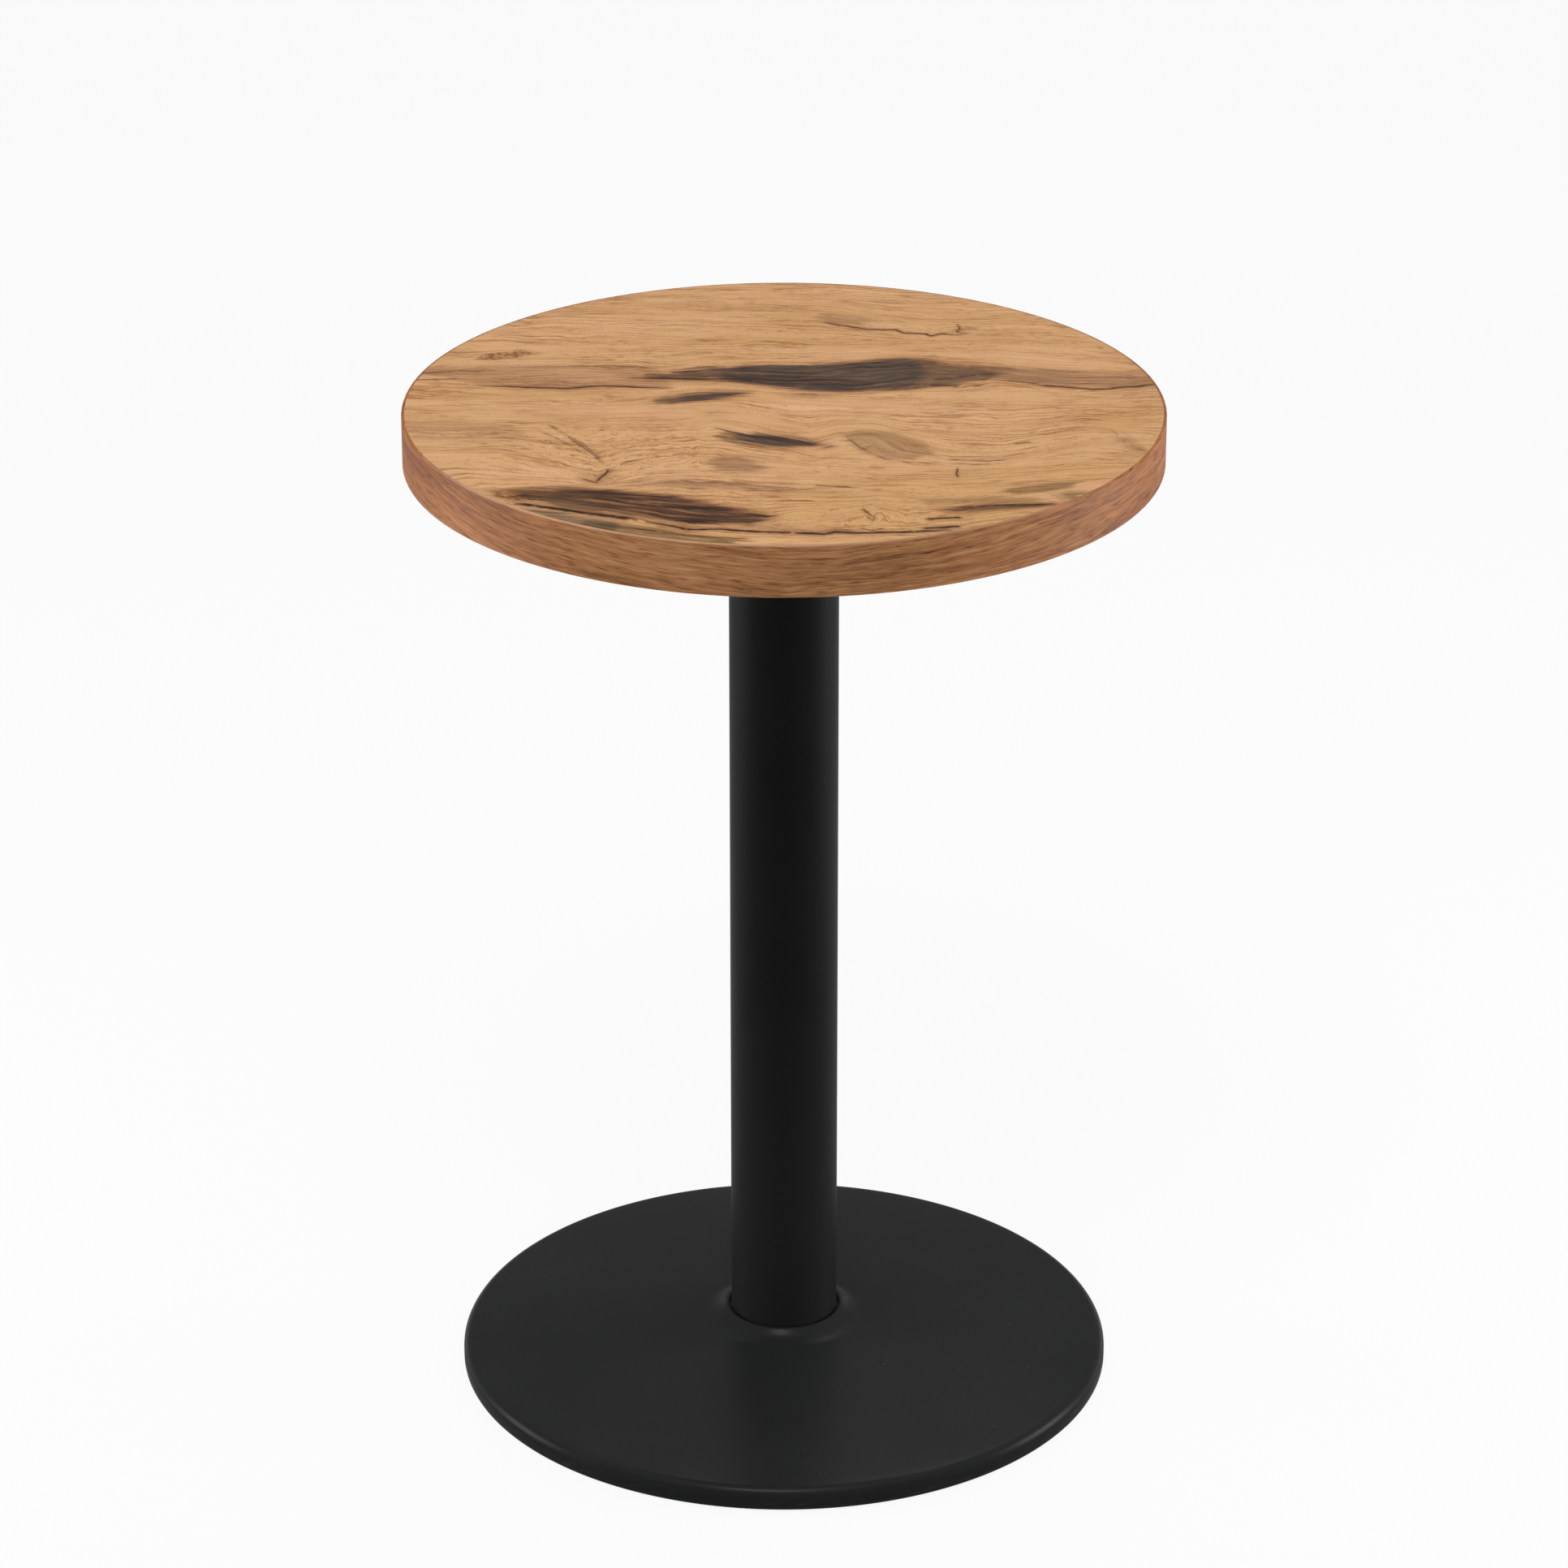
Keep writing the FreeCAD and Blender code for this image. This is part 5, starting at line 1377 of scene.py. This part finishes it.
@dataclass
class Glide:
    """One levelling glide: a nylon pad that slides down and the steel stem that turns in it."""

    number: int
    x: float
    y: float
    pad_radius: float = 14.0
    pad_height: float = 5.6
    thread: Thread = Thread(radius=4.0, pitch=1.25, steps=30)
    thread_foot: float = 9.3
    stem_top: float = 18.6
    collar_foot: float = 5.9
    collar_top: float = 9.1
    collar_flats: float = 13.0
    collar_face: float = 6.2
    collar_chamfer: float = 0.45

    def pad_section(self) -> list[Point]:
        """The pad's section: a slightly dished foot, a soft cone and a crown with a hole for the stem's head."""
        r, top, hole, pocket, floor, roof = self.pad_radius, self.pad_height, 2.9, 4.5, 1.6, 4.0
        return [
            (0, 0.25), (r - 3.0, 0.15), (r - 2.2, 0.0), *bend((r - 0.8, 0.8), 0.8, -math.pi / 2, 0, 3), (r, 2.3),
            *bend((r - 0.5, 2.3), 0.5, 0.3, 1.1, 2), (8.1, 5.35), *bend((7.3, 5.0), 0.6, 1.0, math.pi / 2, 2),
            (hole + 0.4, top), (hole, top - 0.3), (hole, roof), (pocket, roof), (pocket, floor), (0, floor),
        ]

    def stem_section(self) -> list[Point]:
        """The stem's section: a flat head that turns in the pad, a neck and the core of the thread."""
        core, wall, top, head, neck = self.thread.core, self.thread.wall, self.stem_top, 4.2, 2.6
        return [
            (0, 1.9), (head - 0.2, 1.9), (head, 2.1), (head, 3.5), (head - 0.2, 3.7), (neck, 3.7), (neck, 6.0),
            (core + 0.3, 9.0), (wall, 9.8), (wall, top - 0.6), (core - 0.5, top), (0, top),
        ]

    def collar(self) -> bpy.types.Object:
        """The hexagon collar of the stem, with turned-off corners."""
        low, high, chamfer = self.collar_foot, self.collar_top, self.collar_chamfer
        rings = [
            ring_points(low, self.collar_face),
            ring_points(low + chamfer, flats=self.collar_flats),
            ring_points(high - chamfer, flats=self.collar_flats),
            ring_points(high, self.collar_face),
        ]
        piece = place_mesh(f"collar_{self.number}", rings_mesh(rings))
        for point in piece.data.vertices:
            point.co.x += self.x * MM
            point.co.y += self.y * MM
        return settled(piece)

    def build(self, shop: Workshop) -> None:
        """Makes the pad and the stem, each on its own body."""
        n, centre, steel = self.number, (self.x * MM, self.y * MM, 0.0), shop.finish["glide_steel"]
        nylon = shop.finish["glide_plastic"]
        pad = shop.turn.run(f"pad_{n}", section_mesh(self.pad_section()), nylon, Segments=64, Centre=centre)
        shop.hand_over(pad, f"pad_{n}", "glide_plastic", f"glide_pad_{n}")
        shaft = shop.turn.run(f"shaft_{n}", section_mesh(self.stem_section()), steel, Segments=40, Centre=centre)
        inputs = self.thread.inputs(self.thread_foot)
        stem = shop.wind.run(f"stem_{n}", joined(shaft, self.collar()), steel, Turns=6, Centre=centre, **inputs)
        shop.hand_over(stem, f"stem_{n}", "glide_steel", f"glide_stem_{n}")


# Studio


@dataclass(frozen=True)
class Lamp:
    """A soft rectangular lamp: its place and size in metres, the height on the table that it faces, and its watts."""

    name: str
    place: Place
    aim: float
    size: tuple[float, float]
    power: float

    def hang(self) -> None:
        """Puts the lamp in the scene."""
        data = bpy.data.lights.new(self.name, "AREA")
        data.shape, data.size, data.size_y, data.energy = "RECTANGLE", *self.size, self.power
        lamp = bpy.data.objects.new(self.name, data)
        lamp.location = self.place
        x, y, z = np.array((0.0, 0.0, self.aim)) - np.array(self.place)
        lamp.rotation_euler = (math.atan2(math.hypot(x, y), -z), 0.0, math.atan2(y, x) - math.pi / 2)
        bpy.context.scene.collection.objects.link(lamp)


@dataclass
class Studio:
    """The camera of the photograph, a pale floor, soft lamps and a white surround."""

    lens: float = 137.93
    place: Place = (0.0, -3.844, 2.134)
    pitch: float = 66.34
    fill: float = 0.40
    floor_reach: float = 6000.0
    lamps: tuple[Lamp, ...] = (
        Lamp("key", (-0.25, -1.7, 3.3), 0.4, (1.1, 0.7), 43.0),
        Lamp("back", (0.4, 1.7, 2.9), 0.6, (1.6, 1.0), 14.0),
        Lamp("right", (2.2, 0.2, 0.56), 0.36, (0.9, 1.0), 23.0),
        Lamp("left", (-2.2, 0.2, 0.56), 0.36, (0.9, 1.0), 19.0),
    )

    def camera(self) -> None:
        """Sets the camera where the photograph was taken from."""
        data = bpy.data.cameras.new("camera")
        data.lens, data.sensor_width, data.clip_end = self.lens, 36.0, 100.0
        camera = bpy.data.objects.new("camera", data)
        camera.location = self.place
        camera.rotation_euler = (math.radians(self.pitch), 0.0, 0.0)
        bpy.context.scene.collection.objects.link(camera)
        bpy.context.scene.camera = camera

    def surround(self) -> None:
        """A world that is plain white where it is seen and even and dimmer where it lights the table."""
        world = bpy.data.worlds.new("surround")
        world.use_nodes = True
        bpy.context.scene.world = world
        graph = Graph(world.node_tree)
        graph.tree.nodes.clear()
        path = self.rays(graph)
        height = abs(graph.axes(graph.out("ShaderNodeTexCoord", output="Generated"))[2])
        spread = graph.out("ShaderNodeMapRange", {"Value": height, "From Min": 0.5, "From Max": 0.9})
        glossy = path["Is Glossy Ray"] * (graph.math("MULTIPLY_ADD", spread, 0.7, 0.25) - self.fill)
        seen = graph.math("MAXIMUM", path["Is Camera Ray"], path["Is Transmission Ray"])
        strength = graph.math("MAXIMUM", glossy + self.fill, seen)
        light = graph.out("ShaderNodeBackground", {"Color": (1, 1, 1, 1), "Strength": strength})
        graph.add("ShaderNodeOutputWorld", {0: light})

    def rays(self, graph: Graph) -> dict[str, Value]:
        """What kind of ray meets the surface, by the names of the node's outputs."""
        return {socket.name: Value(graph, socket) for socket in graph.add("ShaderNodeLightPath").outputs}

    def floor(self) -> None:
        """A pale floor that reads as white, keeps a soft shadow and is clear from underneath."""
        far = self.floor_reach
        mesh = plain_mesh([(-far, -far, 0), (far, -far, 0), (far, far, 0), (-far, far, 0)], [(0, 1, 2, 3)])
        w = Wiring("floor")
        coat(mesh, w.set(Base_Color=(0.75, 0.75, 0.75, 1.0), Roughness=0.9, Specular_IOR_Level=0.0))
        path = self.rays(w)
        glow = w.out("ShaderNodeEmission", {"Color": (1, 1, 1, 1), "Strength": 1.0})
        mixed = w.out("ShaderNodeMixShader", {0: path["Is Camera Ray"] * 0.92, 1: w.shader, 2: glow})
        close = w.out("ShaderNodeMapRange", {"Value": path["Ray Length"], "From Min": 0.08, "From Max": 0.04})
        close = close * (1.0 - path["Is Camera Ray"])
        below = w.math("MAXIMUM", close, w.out("ShaderNodeNewGeometry", output="Backfacing"))
        clear = w.out("ShaderNodeBsdfTransparent")
        w.join(w.out("ShaderNodeMixShader", {0: below, 1: mixed, 2: clear}), w.end)
        place_mesh("floor", mesh)

    def build(self) -> None:
        """Sets up the whole studio."""
        bpy.context.scene.view_settings.view_transform = "Standard"
        self.camera()
        self.surround()
        self.floor()
        for lamp in self.lamps:
            lamp.hang()


def main() -> None:
    """Builds the studio and every sub-assembly in order."""
    logging.basicConfig(level=logging.INFO, format="%(message)s")
    Studio().build()
    shop = Workshop()
    side = 131.875
    corners = ((side, side), (-side, side), (-side, -side), (side, -side))
    glides = [Glide(number, x, y) for number, (x, y) in enumerate(corners, 1)]
    for assembly in (TableTop(), TopFixing(), ColumnStack(), BaseCover(), Ballast(), *glides):
        assembly.build(shop)


if __name__ == "__main__":
    main()
